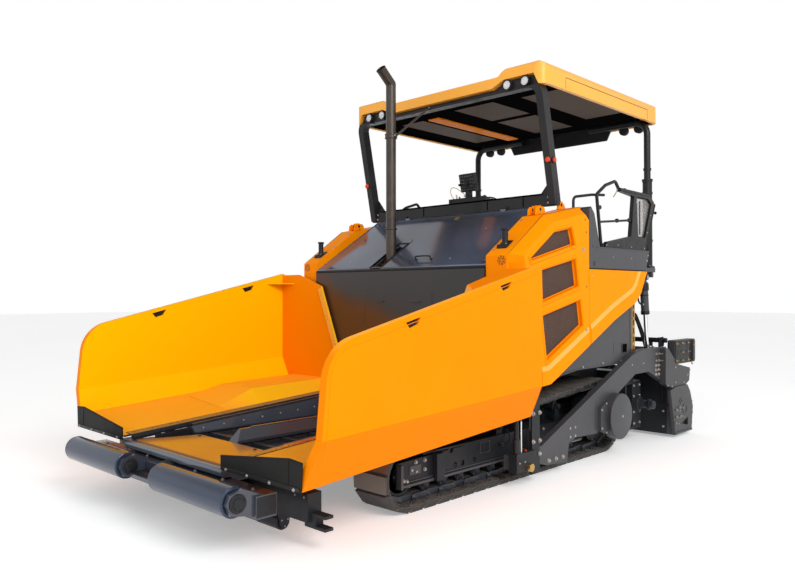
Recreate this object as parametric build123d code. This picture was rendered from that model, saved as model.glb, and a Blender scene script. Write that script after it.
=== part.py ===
from build123d import *
from math import atan2, cos, degrees, hypot, pi, radians, sin
import os

# Tracked asphalt paver. Millimetres, +Z up, the hopper faces -Y, the left side is +X.
# The origin lies on the ground under the middle of the machine's length.

os.makedirs("parts", exist_ok=True)

# ---- clearances
fit_gap = 0.3          # flat or round faces that are seated but may move
pin_gap = 0.5          # a pin in its eye
run_gap = 6.0          # pieces that pass each other

# ---- tracks
track_center_x = 1100.0
shoe_width = 350.0
shoe_thickness = 45.0
shoe_gap = 26.0
shoe_pitch = 163.0
chain_width = 84.0
chain_height = 60.0
idler_y = -1630.0
idler_outer_r = 270.0
sprocket_y = 1400.0
sprocket_outer_r = 390.0
wheel_width = 120.0
roller_pitch = 220.0
roller_count = 11
track_frame_width = 230.0
track_frame_low_z = 185.0
track_frame_high_z = 420.0

# ---- widths of the body and the tow arms, outward from the tracks
arm_thickness = 62.0
arm_outer_x = track_center_x + shoe_width / 2 + 135
side_x = arm_outer_x + 80
panel_x = arm_outer_x - arm_thickness - 12
pod_split_x = side_x - 95
pod_inner_x = side_x - 325

# ---- main frame and conveyor
frame_half_width = track_center_x - shoe_width / 2 - 45
tunnel_half_width = 640.0
tunnel_wall = 60.0
belly_z = 250.0
tunnel_roof_z = 900.0
sheet = 12.0
frame_front_y = -2570.0
crossbeam_depth = 120.0
crossbeam_half_width = 1350.0
crossbeam_low_z = 180.0
crossbeam_high_z = 370.0
body_front_y = -520.0
body_rear_y = 1960.0
conveyor_z = 395.0
conveyor_r = 60.0
chain_strip = 24.0
conveyor_front_y = -2650.0
conveyor_rear_y = 1880.0
slat_pitch = 300.0
slat_width = 40.0

# ---- hopper
hopper_front_y = -2950.0
wing_rear_y = -570.0
floor_front_z = 512.0
floor_slope = 0.069
hinge_x = tunnel_half_width + tunnel_wall
hinge_drop = 20.0
knuckle_r = 18.0
wing_inner_x = hinge_x + 24
wing_corner_x = 1600.0
wing_corner_rise = 85.0
wing_bend_x = 1710.0
wing_bend_rise = 290.0
wing_outer_x = 1770.0
wing_sheet = 12.0
bead_r = 28.0
wing_top_front_z = 1420.0
wing_top_rear_z = 1915.0
wing_nose_y = -2635.0
wing_nose_r = 300.0
return_sheet = 14.0
wall_top_z = 1911.0
wall_half_width = pod_inner_x - 7
flap_sheet = 10.0
apron_y = (-2880.0, -2400.0)
apron_half = (tunnel_half_width - 10, tunnel_half_width - 184)
lip_y = -2912.0
lip_r = 34.0
lip_web_y = (-2858.0, -2840.0)
guard_front_y = -2380.0
wing_cylinder_y = -2300.0
wing_barrel_x = 800.0
wing_barrel_z = 240.0
wing_rod_x = 1300.0
wing_rod_z = 500.0
wing_barrel_r = 42.0
wing_rod_r = 22.0
eye_r = 38.0
eye_width = 50.0
eye_pin_r = 17.0
eye_clear = 18.0
lug_sheet = 20.0

# ---- push rollers
roller_y = -3146.0
roller_z = 376.0
push_roller_r = 100.0
push_roller_in_x = 258.0
push_roller_out_x = 1185.0
push_shaft_r = 28.0
push_bracket = 34.0
push_beam_y = (-3025.0, -2860.0)
push_beam_z = (250.0, 400.0)
push_beam_half = 1250.0

# ---- tractor body
door_gap = 4.0
door_rear_y = 712.0
deck_z = 1930.0
deck_thickness = 50.0
deck_rear_y = 2560.0
sill_top_z = 2150.0
panel_sheet = 45.0
hood_rear_y = 430.0
hood_rear_z = 2540.0
hood_front_z = 1945.0
hood_sheet = 30.0
hood_hinge_x = 640.0
exhaust_x = -250.0
exhaust_y = -280.0
exhaust_r = 52.0
exhaust_top_z = 3880.0
exhaust_slot = 20.0

# ---- canopy and platform
canopy_half = side_x - 180
canopy_y = (190.0, 2670.0)
canopy_high_z = 3920.0
canopy_mid_z = canopy_high_z - 80
canopy_low_z = canopy_high_z - 230
canopy_shell = 40.0
roof_round = 90.0
plan_round = 104.0
portal_foot_z = 2545.0
post_x = side_x - 240
rear_post_y = 2490.0
rear_post_r = 38.0
front_lamps_x = (880.0, 1090.0)
rear_lamps_x = (915.0, 1105.0)
rear_lamp_y = 2545.0
lamp_r = 48.0
rear_beam_drop = 56.0
console_x = -360.0
console_y = 1180.0
seat_x = 400.0
seat_y = 1720.0

# ---- tow points, arms, screed
tow_y = -450.0
tow_z = 220.0
tow_pin_r = 30.0
guide_plate_x = (arm_outer_x + 9, arm_outer_x + 42)
guide_top_z = 843.0
level_x = arm_outer_x + 50
tow_block_x = (arm_outer_x + 10, arm_outer_x + 90)
tow_block_y = (-530.0, -300.0)
tow_block_z = (144.0, 307.0)
tow_travel = 150.0
arm_cover = (1340.0, 410.0)
arm_cover_r = 235.0
arm_bar = (2560.0, 1020.0)
arm_bar_r = 32.0
lift_x = arm_outer_x - 160
lift_top = (2375.0, 1870.0)
lift_eye = (2465.0, 1035.0)
lift_barrel_r = 46.0
lift_rod_r = 24.0
lift_barrel_end = 434.0
lift_boss = lift_barrel_r + 6
screed_half = arm_outer_x + 90
screed_front_y = 2640.0
screed_rear_y = 3105.0
screed_low_z = 35.0
end_plate = 30.0

# ---- augers
auger_y = 2250.0
auger_z = 420.0
auger_r = 190.0
auger_shaft_r = 46.0
auger_in_x = 70.0
auger_plate_x = (1140.0, 1230.0)
auger_stub_x = 1430.0
auger_pitch = 340.0
auger_steps = 12


def box(x, y, z):
    """A block between three pairs of limits."""
    center = ((x[0] + x[1]) / 2, (y[0] + y[1]) / 2, (z[0] + z[1]) / 2)
    return Pos(*center) * Box(abs(x[1] - x[0]), abs(y[1] - y[0]), abs(z[1] - z[0]))


def plate(points, direction):
    """A closed outline pushed along a vector."""
    face = make_face(Polyline(*points, close=True))
    along = Vector(*direction)
    return extrude(face, amount=along.length, dir=along.normalized())


def side_plate(outline, x_low, x_high):
    """An outline in (y, z) between two values of x."""
    return plate([(x_low, y, z) for y, z in outline], (x_high - x_low, 0, 0))


def front_plate(outline, y_low, y_high):
    """An outline in (x, z) between two values of y."""
    return plate([(x, y_low, z) for x, z in outline], (0, y_high - y_low, 0))


def top_plate(outline, z_low, z_high):
    """An outline in (x, y) between two values of z."""
    return plate([(x, y, z_low) for x, y in outline], (0, 0, z_high - z_low))


def round_outline(points, radii):
    """A face whose outline is rounded at every point but the first and the last."""
    line = FilletPolyline(*points, radius=radii)
    return make_face([*line.edges(), Line(points[-1], points[0]).edge()])


def rod(start, end, radius):
    """A round bar between two points."""
    axis = Vector(*end) - Vector(*start)
    plane = Plane(origin=start, z_dir=axis)
    return plane * Cylinder(radius, axis.length, align=(Align.CENTER, Align.CENTER, Align.MIN))


def x_rod(x_low, x_high, y, z, radius):
    return rod((x_low, y, z), (x_high, y, z), radius)


def beam(start, end, width, depth):
    """A square bar between two points, its width along X."""
    axis = Vector(*end) - Vector(*start)
    plane = Plane(origin=start, x_dir=(1, 0, 0), z_dir=axis)
    return plane * Box(width, depth, axis.length, align=(Align.CENTER, Align.CENTER, Align.MIN))


def bent_tube(points, radii, radius):
    """A round tube along straight runs joined by arcs."""
    path = FilletPolyline(*points, radius=radii)
    section = Plane(origin=points[0], z_dir=path % 0) * Circle(radius)
    return sweep(section, path=path)


def other_side(shape):
    return mirror(shape, about=Plane.YZ)


def both_sides(shape):
    return [shape, other_side(shape)]


def joined(shapes):
    result = shapes[0]
    for shape in shapes[1:]:
        result = result + shape
    return result


def save(name, *shapes):
    """One STEP file for a node, its separate solids side by side."""
    solids = []
    for shape in shapes:
        solids += list(shape.solids())
    content = solids[0] if len(solids) == 1 else Compound(children=solids)
    export_step(content, os.path.join("parts", name + ".step"))


def save_sides(name, shape):
    save(name + "_left", shape)
    save(name + "_right", other_side(shape))


# ---- tracks -------------------------------------------------------------------------------

class Loop:
    """A belt line around two wheels of different size that stand on one level."""

    def __init__(self, front, front_r, rear, rear_r):
        self.front, self.front_r = front, front_r
        self.rear, self.rear_r = rear, rear_r
        self.span = rear - front
        self.lean = atan2(rear_r - front_r, self.span) * 2
        self.rear_turn = pi + self.lean
        self.front_turn = pi - self.lean
        self.length = self.span * 2 + rear_r * self.rear_turn + front_r * self.front_turn

    def point(self, distance, inset):
        """The place a distance along the loop, set in from its outer line."""
        bottom = self.span
        rear = bottom + self.rear_r * self.rear_turn
        top = rear + self.span
        distance = distance % self.length
        if distance <= bottom:
            return self.front + distance, inset
        if distance <= rear:
            angle = -pi / 2 + (distance - bottom) / self.rear_r
            return self.on_wheel(self.rear, self.rear_r, angle, inset)
        if distance <= top:
            share = (distance - rear) / self.span
            angle = pi / 2 + self.lean
            start = self.on_wheel(self.rear, self.rear_r, angle, inset)
            end = self.on_wheel(self.front, self.front_r, angle, inset)
            return start[0] + share * (end[0] - start[0]), start[1] + share * (end[1] - start[1])
        angle = pi / 2 + self.lean + (distance - top) / self.front_r
        return self.on_wheel(self.front, self.front_r, angle, inset)

    def on_wheel(self, center, radius, angle, inset):
        reach = radius - inset
        return center + reach * cos(angle), radius + reach * sin(angle)


track_loop = Loop(idler_y, idler_outer_r, sprocket_y, sprocket_outer_r)
track_inset = shoe_thickness + chain_height
idler_r = idler_outer_r - track_inset
sprocket_r = sprocket_outer_r - track_inset
idler_z = idler_outer_r
sprocket_z = sprocket_outer_r
track_in_x = track_center_x - shoe_width / 2
track_out_x = track_center_x + shoe_width / 2


def loop_face(loop, inset, x, lift=0.0):
    """The closed line of a loop at an inset: two runs and two arcs."""
    lean = loop.lean

    def place(center, radius, angle):
        y, z = loop.on_wheel(center, radius, angle, inset)
        return x, y, z + lift

    rear = [place(loop.rear, loop.rear_r, angle) for angle in (-pi / 2, lean / 2, pi / 2 + lean)]
    front = [place(loop.front, loop.front_r, angle) for angle in (pi / 2 + lean, pi + lean / 2, -pi / 2)]
    edges = [Line(front[2], rear[0]), ThreePointArc(*rear), Line(rear[2], front[0]),
             ThreePointArc(*front)]
    return make_face([edge.edge() for edge in edges])


def loop_band(loop, outer_inset, inner_inset, x_low, x_high, lift=0.0):
    """A band that follows a loop between two insets."""
    outer = extrude(loop_face(loop, outer_inset, x_low, lift), amount=x_high - x_low, dir=(1, 0, 0))
    inner = extrude(loop_face(loop, inner_inset, x_low - 1, lift), amount=x_high - x_low + 2,
                    dir=(1, 0, 0))
    return outer - inner


def build_track():
    """One fixed loop: the shoes in its outline, the chain inside them."""
    count = round(track_loop.length / shoe_pitch)
    step = track_loop.length / count
    outline = []
    for i in range(count):
        start = i * step + shoe_gap / 2
        end = (i + 1) * step - shoe_gap / 2
        outline.append(track_loop.point(start, shoe_thickness * 0.6))
        outline.append(track_loop.point(start, 0))
        outline.append(track_loop.point(end, 0))
        outline.append(track_loop.point(end, shoe_thickness * 0.6))
    shoes = side_plate(outline, track_in_x, track_out_x)
    hollow = loop_face(track_loop, shoe_thickness, track_in_x - 1)
    shoes -= extrude(hollow, amount=shoe_width + 2, dir=(1, 0, 0))
    chain_low = track_center_x - chain_width / 2
    chain = loop_band(track_loop, shoe_thickness, track_inset, chain_low, chain_low + chain_width)
    return shoes + chain


def build_track_frame():
    """Two side plates with a top plate, tied to the main frame by two crossmembers."""
    outer = track_center_x + track_frame_width / 2
    inner = track_center_x - track_frame_width / 2
    front = idler_y - 80
    rear = sprocket_y - sprocket_r - 60
    outline = [(front, track_frame_low_z), (rear - 120, track_frame_low_z),
               (rear, track_frame_low_z + 90), (rear, track_frame_high_z),
               (-210, track_frame_high_z), (front, track_frame_high_z - 40)]
    side = side_plate(outline, outer - 15, outer)
    hole_rows = [(-1060, 390, 24), (-860, 390, 24), (-755, 390, 24),
                 (-1010, 260, 24), (-910, 260, 24), (-755, 260, 24)]   # y, z, radius
    for y, z, radius in hole_rows:
        side -= x_rod(outer - 20, outer + 5, y, z, radius)
    side += box((outer - 15, outer + 55), (-1300, -1210), (track_frame_low_z, 400))
    back = side_plate(outline, inner, inner + 15)
    clear_idler = idler_y + idler_r + 60
    lid = box((inner, outer), (clear_idler, rear), (track_frame_high_z - 15, track_frame_high_z))
    ties = [box((frame_half_width, outer), (y - 90, y + 90), (290, track_frame_high_z))
            for y in (-800, 450)]
    frame = joined([side, back, lid] + ties)
    axle = x_rod(inner, outer, idler_y, idler_z, 38)
    return frame + axle


def build_track_wheels():
    """Idler, sprocket with its drive, and the rollers, all seated on the chain."""
    half = wheel_width / 2
    low = track_center_x - half
    high = track_center_x + half
    idler = x_rod(low, high, idler_y, idler_z, idler_r - fit_gap)
    idler -= x_rod(low - 1, high + 1, idler_y, idler_z, 38 + fit_gap)
    sprocket = x_rod(low, high, sprocket_y, sprocket_z, sprocket_r - fit_gap)
    hub = x_rod(frame_half_width + fit_gap, high + 55, sprocket_y, sprocket_z, 170)
    wheels = [idler, sprocket + hub]
    roller_r = (track_frame_low_z - track_inset) / 2 + 10
    first = idler_y + 287
    for i in range(roller_count):
        y = first + i * roller_pitch
        z = track_inset + roller_r
        body = x_rod(low, high, y, z, roller_r - fit_gap)
        bracket = box((low - 22, low - 4), (y - 45, y + 45), (z - 30, track_frame_low_z))
        bracket += box((high + 4, high + 22), (y - 45, y + 45), (z - 30, track_frame_low_z))
        shaft = x_rod(low - 22, high + 22, y, z, 20)
        wheels.append(body + bracket + shaft)
    return wheels


# ---- frame ---------------------------------------------------------------------------------

def floor_z(y):
    """Height of the wing floor's inner edge."""
    return floor_front_z + (y - hopper_front_y) * floor_slope


def hinge_z(y):
    return floor_z(y) - hinge_drop


slope_length = hypot(1, floor_slope)
hinge_axis = (0, 1 / slope_length, floor_slope / slope_length)
wing_plane = Plane(origin=(wing_barrel_x, wing_cylinder_y, wing_barrel_z), x_dir=(1, 0, 0),
                   z_dir=(0, -hinge_axis[1], -hinge_axis[2]))
wing_reach = (wing_rod_x - wing_barrel_x, wing_rod_z - wing_barrel_z)


def hinge_spans(count, kind):
    """Stretches of the wing hinge: even ones belong to the frame, odd ones to the wing."""
    front = hopper_front_y + 60
    step = (wing_rear_y - 40 - front) / count
    return [(front + i * step, front + (i + 1) * step - run_gap)
            for i in range(count) if i % 2 == kind]


hinge_parts = 9


def build_main_frame():
    """Side beams, belly, tunnel roof, cross beams and the tow guide brackets."""
    rear = body_rear_y
    front = frame_front_y - crossbeam_depth
    inner = (tunnel_half_width, tunnel_half_width + tunnel_wall)
    drop = hinge_drop + knuckle_r
    beam_line = [(front, belly_z), (rear, belly_z), (rear, tunnel_roof_z),
                 (body_front_y, tunnel_roof_z), (body_front_y, floor_z(body_front_y) - drop - 2),
                 (front, floor_z(front) - drop - 2)]
    side = side_plate(beam_line, *inner)
    side += box((inner[1], frame_half_width), (-1880, 1700), (290, 560))
    side += box((inner[1], frame_half_width), (body_front_y, rear), (560, tunnel_roof_z))
    for start, end in hinge_spans(hinge_parts, 0):
        side += rod((hinge_x, start, hinge_z(start)), (hinge_x, end, hinge_z(end)), knuckle_r)
        seat = [(start, floor_z(start) - drop - 5), (end, floor_z(end) - drop - 5),
                (end, hinge_z(end)), (start, hinge_z(start))]
        side += side_plate(seat, hinge_x - knuckle_r, hinge_x)
    guide_y = (-228, -106)
    side += box((frame_half_width, guide_plate_x[1]), guide_y, (740, guide_top_z))
    side += box(guide_plate_x, guide_y, (80, guide_top_z))
    side += wing_barrel_bracket()
    side += push_arm()
    frame = side + other_side(side)
    frame += box((-tunnel_half_width, tunnel_half_width), (front, rear), (belly_z, belly_z + sheet))
    roof = (tunnel_roof_z - sheet, tunnel_roof_z)
    frame += box((-tunnel_half_width, tunnel_half_width), (body_front_y, rear), roof)
    frame += box((-crossbeam_half_width, crossbeam_half_width), (front, frame_front_y),
                 (crossbeam_low_z, crossbeam_high_z - 60))
    ends = box((tunnel_half_width, crossbeam_half_width), (front, frame_front_y),
               (crossbeam_low_z, crossbeam_high_z))
    prong_x = (crossbeam_half_width, crossbeam_half_width + 150)
    prong = box(prong_x, (front + 25, frame_front_y - 25), (145, 165))
    prong += box(prong_x, (front + 25, frame_front_y - 25), (225, 245))
    prong += box((prong_x[0] - 60, prong_x[0] + 50), (front + 25, frame_front_y - 25), (145, 245))
    frame += ends + other_side(ends) + prong + other_side(prong)
    return frame


def wing_barrel_bracket():
    """Fork that holds the foot of a wing cylinder."""
    half = eye_width / 2 + fit_gap
    reach = wing_barrel_x - hinge_x + 5
    shapes = [wing_plane * box((-reach, 32), (-32, 32), (low, low + lug_sheet))
              for low in (-half - lug_sheet, half)]
    pin = Cylinder(eye_pin_r, 2 * half + 2)
    return shapes[0] + shapes[1] + wing_plane * pin


def push_arm():
    """Stub that carries the push beam in front of the cross beam."""
    front = frame_front_y - crossbeam_depth
    return box((480, 700), (push_beam_y[1] - 1, front + 5), (belly_z, 322))


def build_push_beam():
    beam_body = box((-push_beam_half, push_beam_half), (push_beam_y[0], push_beam_y[1] - 1 - fit_gap),
                    push_beam_z)
    mid = push_roller_in_x - 8
    spots = [(push_roller_out_x + 8, push_roller_out_x + 8 + push_bracket), (mid - push_bracket, mid)]
    for low, high in spots:
        reach = [(push_beam_y[0] + 60, push_beam_z[0]), (push_beam_y[0] + 60, push_beam_z[1]),
                 (roller_y + 40, roller_z + 85), (roller_y - 55, roller_z + 60),
                 (roller_y - 80, roller_z), (roller_y - 50, roller_z - 70),
                 (roller_y + 60, roller_z - 90)]
        ear = side_plate(reach, low, high)
        ear -= x_rod(low - 1, high + 1, roller_y, roller_z, push_shaft_r + pin_gap)
        beam_body += ear + other_side(ear)
    step = box((-mid, mid), (roller_y - 10, push_beam_y[0] + 1), (300, 330))
    outer = box((push_beam_half - 5, push_roller_out_x + 8 + push_bracket),
                (push_beam_y[0], push_beam_y[0] + 62), push_beam_z)
    return beam_body + step + outer + other_side(outer)


def build_push_roller():
    body = x_rod(push_roller_in_x, push_roller_out_x, roller_y, roller_z, push_roller_r)
    shaft_in = push_roller_in_x - 8 - push_bracket
    shaft_out = push_roller_out_x + 8 + push_bracket
    return body + x_rod(shaft_in, shaft_out, roller_y, roller_z, push_shaft_r)


# ---- hopper --------------------------------------------------------------------------------

def wing_section(y, low_x, low_z, bevel_z, top_z):
    """Cross section of a wing: floor, corner, outer wall and lower bevel."""
    base = floor_z(y)
    points = [(wing_inner_x, base - wing_sheet), (wing_inner_x, base),
              (wing_corner_x, base + wing_corner_rise), (wing_bend_x, base + wing_bend_rise),
              (wing_bend_x, top_z), (wing_outer_x, top_z), (wing_outer_x, bevel_z),
              (low_x, low_z), (low_x - 60, base + wing_corner_rise - 25)]
    return make_face(Polyline(*[(x, y, z) for x, z in points], close=True))


def wing_top_z(y):
    share = (y - wing_nose_y) / (wing_rear_y + 15 - wing_nose_y)
    return wing_top_front_z + share * (wing_top_rear_z - wing_top_front_z)


def wing_edge():
    """The front and top edge of a wing's side, with its round nose."""
    low = (hopper_front_y, 480)
    lean = 0.1014
    slope = (wing_top_rear_z - wing_top_front_z) / (wing_rear_y + 15 - wing_nose_y)
    base = wing_top_front_z - slope * wing_nose_y
    corner_y = (low[0] + lean * (base - low[1])) / (1 - lean * slope)
    corner = (corner_y, base + slope * corner_y)
    return low, corner, (wing_rear_y + 15, wing_top_rear_z)


def build_wing():
    """Loft between the front and rear sections, trimmed to the side outline."""
    rear_y = wing_rear_y + 15
    front = wing_section(hopper_front_y, 1620, 480, 800, 2000)
    rear = wing_section(rear_y, 1660, 657, 920, 2000)
    wing = loft([front, rear], ruled=True)
    low, corner, high = wing_edge()
    inside = wing_inner_x - 10
    edge = FilletPolyline(*[(inside, y, z) for y, z in (low, corner, high)], radius=wing_nose_r)
    rest = Polyline((inside, *high), (inside, high[0], 300), (inside, low[0], 300), (inside, *low))
    side = extrude(make_face([*edge.edges(), *rest.edges()]), amount=1200, dir=(1, 0, 0))
    wing = wing & side
    bead_x = wing_outer_x - bead_r
    bead_points = [(bead_x, low[0], low[1] + 130), (bead_x, *corner), (bead_x, *high)]
    wing += bent_tube(bead_points, wing_nose_r, bead_r)
    for slot_y in (-2190, -1130):
        top = [wing_top_z(slot_y + step) - 34 for step in (0, 150)]
        hole = [(slot_y, top[0]), (slot_y + 150, top[1]), (slot_y + 118, top[1] - 52),
                (slot_y + 38, top[0] - 42)]
        wing -= side_plate(hole, wing_bend_x - 30, wing_outer_x + 30)
    wing += wing_return()
    wing += wing_wedge()
    wing += top_plate([(1712, -583), (1490, -583), (1712, -800)], 1792, 1802)
    for start, end in hinge_spans(hinge_parts, 1):
        wing += rod((hinge_x, start, hinge_z(start)), (hinge_x, end, hinge_z(end)), knuckle_r)
        seat = [(start, hinge_z(start)), (end, hinge_z(end)), (end, floor_z(end)),
                (start, floor_z(start))]
        wing += side_plate(seat, hinge_x, wing_inner_x + 8)
    wing += wing_rod_lug()
    return wing


def wing_return():
    """Rear plate that turns in across the hopper, with the strip along its edge."""
    base = floor_z(wing_rear_y) - 4
    outline = [(1742, 1898), (1405, 1898), (1013, 1765), (743, 1110), (743, base),
               (wing_corner_x, base + wing_corner_rise), (1742, base + wing_bend_rise)]
    wall = front_plate(outline, wing_rear_y - return_sheet, wing_rear_y)
    strip = [(1013, 1765), (743, 1110), (743, base + 60), (800, base + 60), (800, 1100), (1062, 1740)]
    front = wing_rear_y - return_sheet
    return wall + front_plate(strip, front - 8, front + 1)


def wing_wedge():
    """Raised box with sloped front and inner side on the wing floor."""
    sections = []
    for y, top in ((-1900, None), (-1520, 752), (wing_rear_y - 5, 778)):
        base = floor_z(y)
        inner, crest, outer = 820, 960, 1500
        rise = [wing_corner_rise * (x - wing_inner_x) / (wing_corner_x - wing_inner_x)
                for x in (inner, crest, outer)]
        high = (top, top) if top else (base + rise[1] + 4, base + rise[2] + 4)
        points = [(inner, base + rise[0] - 4), (crest, high[0]), (outer, high[1]),
                  (outer, base + rise[2] - 4)]
        sections.append(make_face(Polyline(*[(x, y, z) for x, z in points], close=True)))
    return loft(sections, ruled=True)


def wing_rod_lug():
    """Plate under the wing floor, beside the eye of the cylinder's rod."""
    low = -eye_width / 2 - fit_gap - lug_sheet
    x, z = wing_reach
    plate_body = box((x - 40, x + 40), (z - 35, z + 103), (low, low + lug_sheet))
    return wing_plane * plate_body


def cylinder_pair(reach, barrel_r, rod_r, barrel_end, rod_start, eye, boss=0.0):
    """Barrel and rod of a hydraulic cylinder that lies in a plane, from its foot pin.

    A boss is how far the rod's eye reaches past the barrel's flank to the plate that holds it.
    """
    length = hypot(*reach)
    lean = degrees(atan2(reach[1], reach[0]))
    hole = Cylinder(eye_pin_r + pin_gap, eye_width + 2)
    start = eye + eye_clear
    low = (Align.CENTER, Align.CENTER, Align.MIN)
    tube = Cylinder(barrel_r, barrel_end - start, align=low)
    barrel = Rot(0, 0, lean) * Pos(start, 0, 0) * Rot(0, 90, 0) * tube
    neck = Rot(0, 0, lean) * Pos(start / 2 + 1, 0, 0) * Box(start + 2, eye * 1.5, eye_width)
    barrel = barrel + Cylinder(eye, eye_width) + neck - hole
    bore = Cylinder(rod_r + pin_gap, barrel_end, align=(Align.CENTER,) * 2 + (Align.MIN,))
    barrel -= Rot(0, 0, lean) * Pos(start + 10, 0, 0) * Rot(0, 90, 0) * bore
    bar = Cylinder(rod_r, length - rod_start, align=(Align.CENTER,) * 2 + (Align.MIN,))
    bar = Rot(0, 0, lean) * Pos(rod_start, 0, 0) * Rot(0, 90, 0) * bar
    tip = Pos(reach[0], reach[1], 0) * Cylinder(eye, eye_width)
    if boss:
        tip += Pos(reach[0], reach[1], boss / 2) * Cylinder(eye_pin_r + 8, boss)
    return barrel, bar + tip


def build_flap():
    base = floor_z(hopper_front_y)
    outline = [(wing_inner_x + 16, base - 34), (1620, base - 34), (1632, base + 150),
               (1500, base + 160), (wing_inner_x + 16, base + 66)]
    rear = hopper_front_y - fit_gap
    return front_plate(outline, rear - flap_sheet, rear)


def build_rear_wall():
    """Dark wall behind the hopper, open at the foot for the conveyor tunnel."""
    low = floor_z(body_front_y) + 20
    outline = [(-wall_half_width, low), (-wall_half_width, wall_top_z), (wall_half_width, wall_top_z),
               (wall_half_width, low), (tunnel_half_width, low), (tunnel_half_width, tunnel_roof_z),
               (-tunnel_half_width, tunnel_roof_z), (-tunnel_half_width, low)]
    rear = body_front_y - fit_gap
    return front_plate(outline, rear - 20, rear)


def build_conveyor_deck():
    """Floor plate that the slats scrape, between the upper and the lower chain runs."""
    high = conveyor_z + conveyor_r - chain_strip - fit_gap
    low = conveyor_z - conveyor_r + chain_strip + run_gap
    half = tunnel_half_width - fit_gap
    deck = box((-half, half), (conveyor_front_y + 8, conveyor_rear_y - 8), (low, high))
    return deck


def build_conveyor(x_low, x_high):
    """Two chains around the deck, joined by slats on both runs."""
    loop = Loop(conveyor_front_y, conveyor_r, conveyor_rear_y, conveyor_r)
    base = conveyor_z - conveyor_r
    chains = [loop_band(loop, 0, chain_strip, low, low + chain_strip, base)
              for low in (x_low, x_high - chain_strip)]
    number = int((conveyor_rear_y - conveyor_front_y) / slat_pitch)
    top = conveyor_z + conveyor_r
    slats = []
    for i in range(number):
        y = conveyor_front_y + 120 + i * slat_pitch
        slats.append(box((x_low, x_high), (y, y + slat_width), (top - chain_strip + 2, top + 6)))
        slats.append(box((x_low, x_high), (y, y + slat_width), (base - 6, base + chain_strip - 2)))
    return joined(chains + slats)


def build_guards():
    """Ridge over the middle chains and sloped covers along both sides."""
    top = conveyor_z + conveyor_r + run_gap
    front = guard_front_y
    rear = body_front_y - 25
    ridge = front_plate([(-58, top + 6), (-58, top + 30), (-12, top + 115), (12, top + 115),
                         (58, top + 30), (58, top + 6)], front, rear)
    ridge -= side_plate([(front - 1, top), (front - 1, 700), (front + 150, 700)], -60, 60)
    post = box((-8, 8), (front + 60, rear), (conveyor_z + conveyor_r - chain_strip - fit_gap, top + 8))
    ridge += post
    sections = []
    for y in (front, rear):
        base = floor_z(y)
        outer = hinge_x - knuckle_r - 4
        inner = tunnel_half_width - fit_gap
        low = base - hinge_drop - knuckle_r - 2 + fit_gap
        points = [(outer, base - 30), (inner - 8, base - 24), (575, top + 22), (575, top + 8),
                  (inner, top + 8), (inner, low), (outer, low)]
        sections.append(make_face(Polyline(*[(x, y, z) for x, z in points], close=True)))
    cover = loft(sections, ruled=True)
    return ridge, cover


def build_apron():
    """Plate in front of the conveyor, its round lip and the side corner plates."""
    top = conveyor_z + conveyor_r + run_gap
    wide, narrow = apron_half
    outline = [(-wide, apron_y[0]), (wide, apron_y[0]), (narrow, apron_y[1]), (-narrow, apron_y[1])]
    apron = top_plate(outline, top + 10, top + 22)
    seat = top + 10 - fit_gap
    half = wing_inner_x - 4
    lip = x_rod(-half, half, lip_y, top - 20, lip_r)
    lip += box((-half, half), (lip_y - 2, lip_web_y[0] + 1), (top - 20 - lip_r, seat))
    web_half = narrow + 19
    web = box((-web_half, web_half), lip_web_y, (belly_z + 30, seat))
    front = frame_front_y - crossbeam_depth
    ends = box((tunnel_half_width + 1, half), (lip_web_y[0], front - fit_gap), (belly_z + 120, seat))
    return apron, lip + web + ends + other_side(ends)


# ---- tractor body --------------------------------------------------------------------------

pod_top = [(-508, 2028), (48, 2409), (door_rear_y, 2540)]                     # y, z
door_face = [(-385, 1950), (-402, 2014), (-338, 2081), (49, 2333), (552, 2442),
             (door_rear_y - 62, 2448), (door_rear_y, 2400), (door_rear_y, 1172), (21, 859), (-133, 849)]
door_back = [(-500, 1950), (-508, 2028), (-470, 2054), (48, 2409), (600, 2517),
             (door_rear_y - 30, 2528), (door_rear_y, 2515), (door_rear_y, 1172), (21, 859), (-133, 849)]
grille_windows = [                                                            # y, z outlines
    [(-295, 1997), (95, 2254), (385, 2306), (444, 2147), (-283, 1972)],
    [(-120, 1896), (457, 2014), (509, 1753), (-109, 1604)],
    [(-110, 1483), (541, 1622), (589, 1376), (-44, 1078)]]
pod_pocket = 90.0
pod_post = (1271.0, -376.0)


def build_side_pod():
    """Housing beside the engine, with a pocket behind the door's grilles."""
    outline = [(body_front_y + 2, 1400), (body_front_y + 2, 2020), *pod_top, (door_rear_y, 1172),
               (21, 859), (-133, 849), (-150, 1400)]
    pod = side_plate(outline, pod_inner_x, pod_split_x)
    pocket = [(-90, 1110), (-90, 1940), (-240, 1985), (90, 2230), (560, 2280), (600, 1300)]
    pod -= side_plate(pocket, pod_split_x - pod_pocket, pod_split_x + 1)
    post = rod((*pod_post, 2100), (*pod_post, 2267), 26)
    cap = rod((*pod_post, 2255), (*pod_post, 2267), 34)
    lug = side_plate([(130, 2420), (205, 2434), (195, 2515), (141, 2515)], 1246, 1268)
    lug -= x_rod(1240, 1270, 168, 2488, 13)
    return pod + post + cap + lug


door_knuckles = (1230.0, 1720.0)
door_knuckle_r = 9.0
knuckle_length = 70.0


def door_knuckle(z, length, radius):
    """A stretch of the upright hinge between a door and the panel behind it."""
    y = door_rear_y + door_gap / 2
    return rod((side_x, y, z), (side_x, y, z + length), radius)


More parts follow.
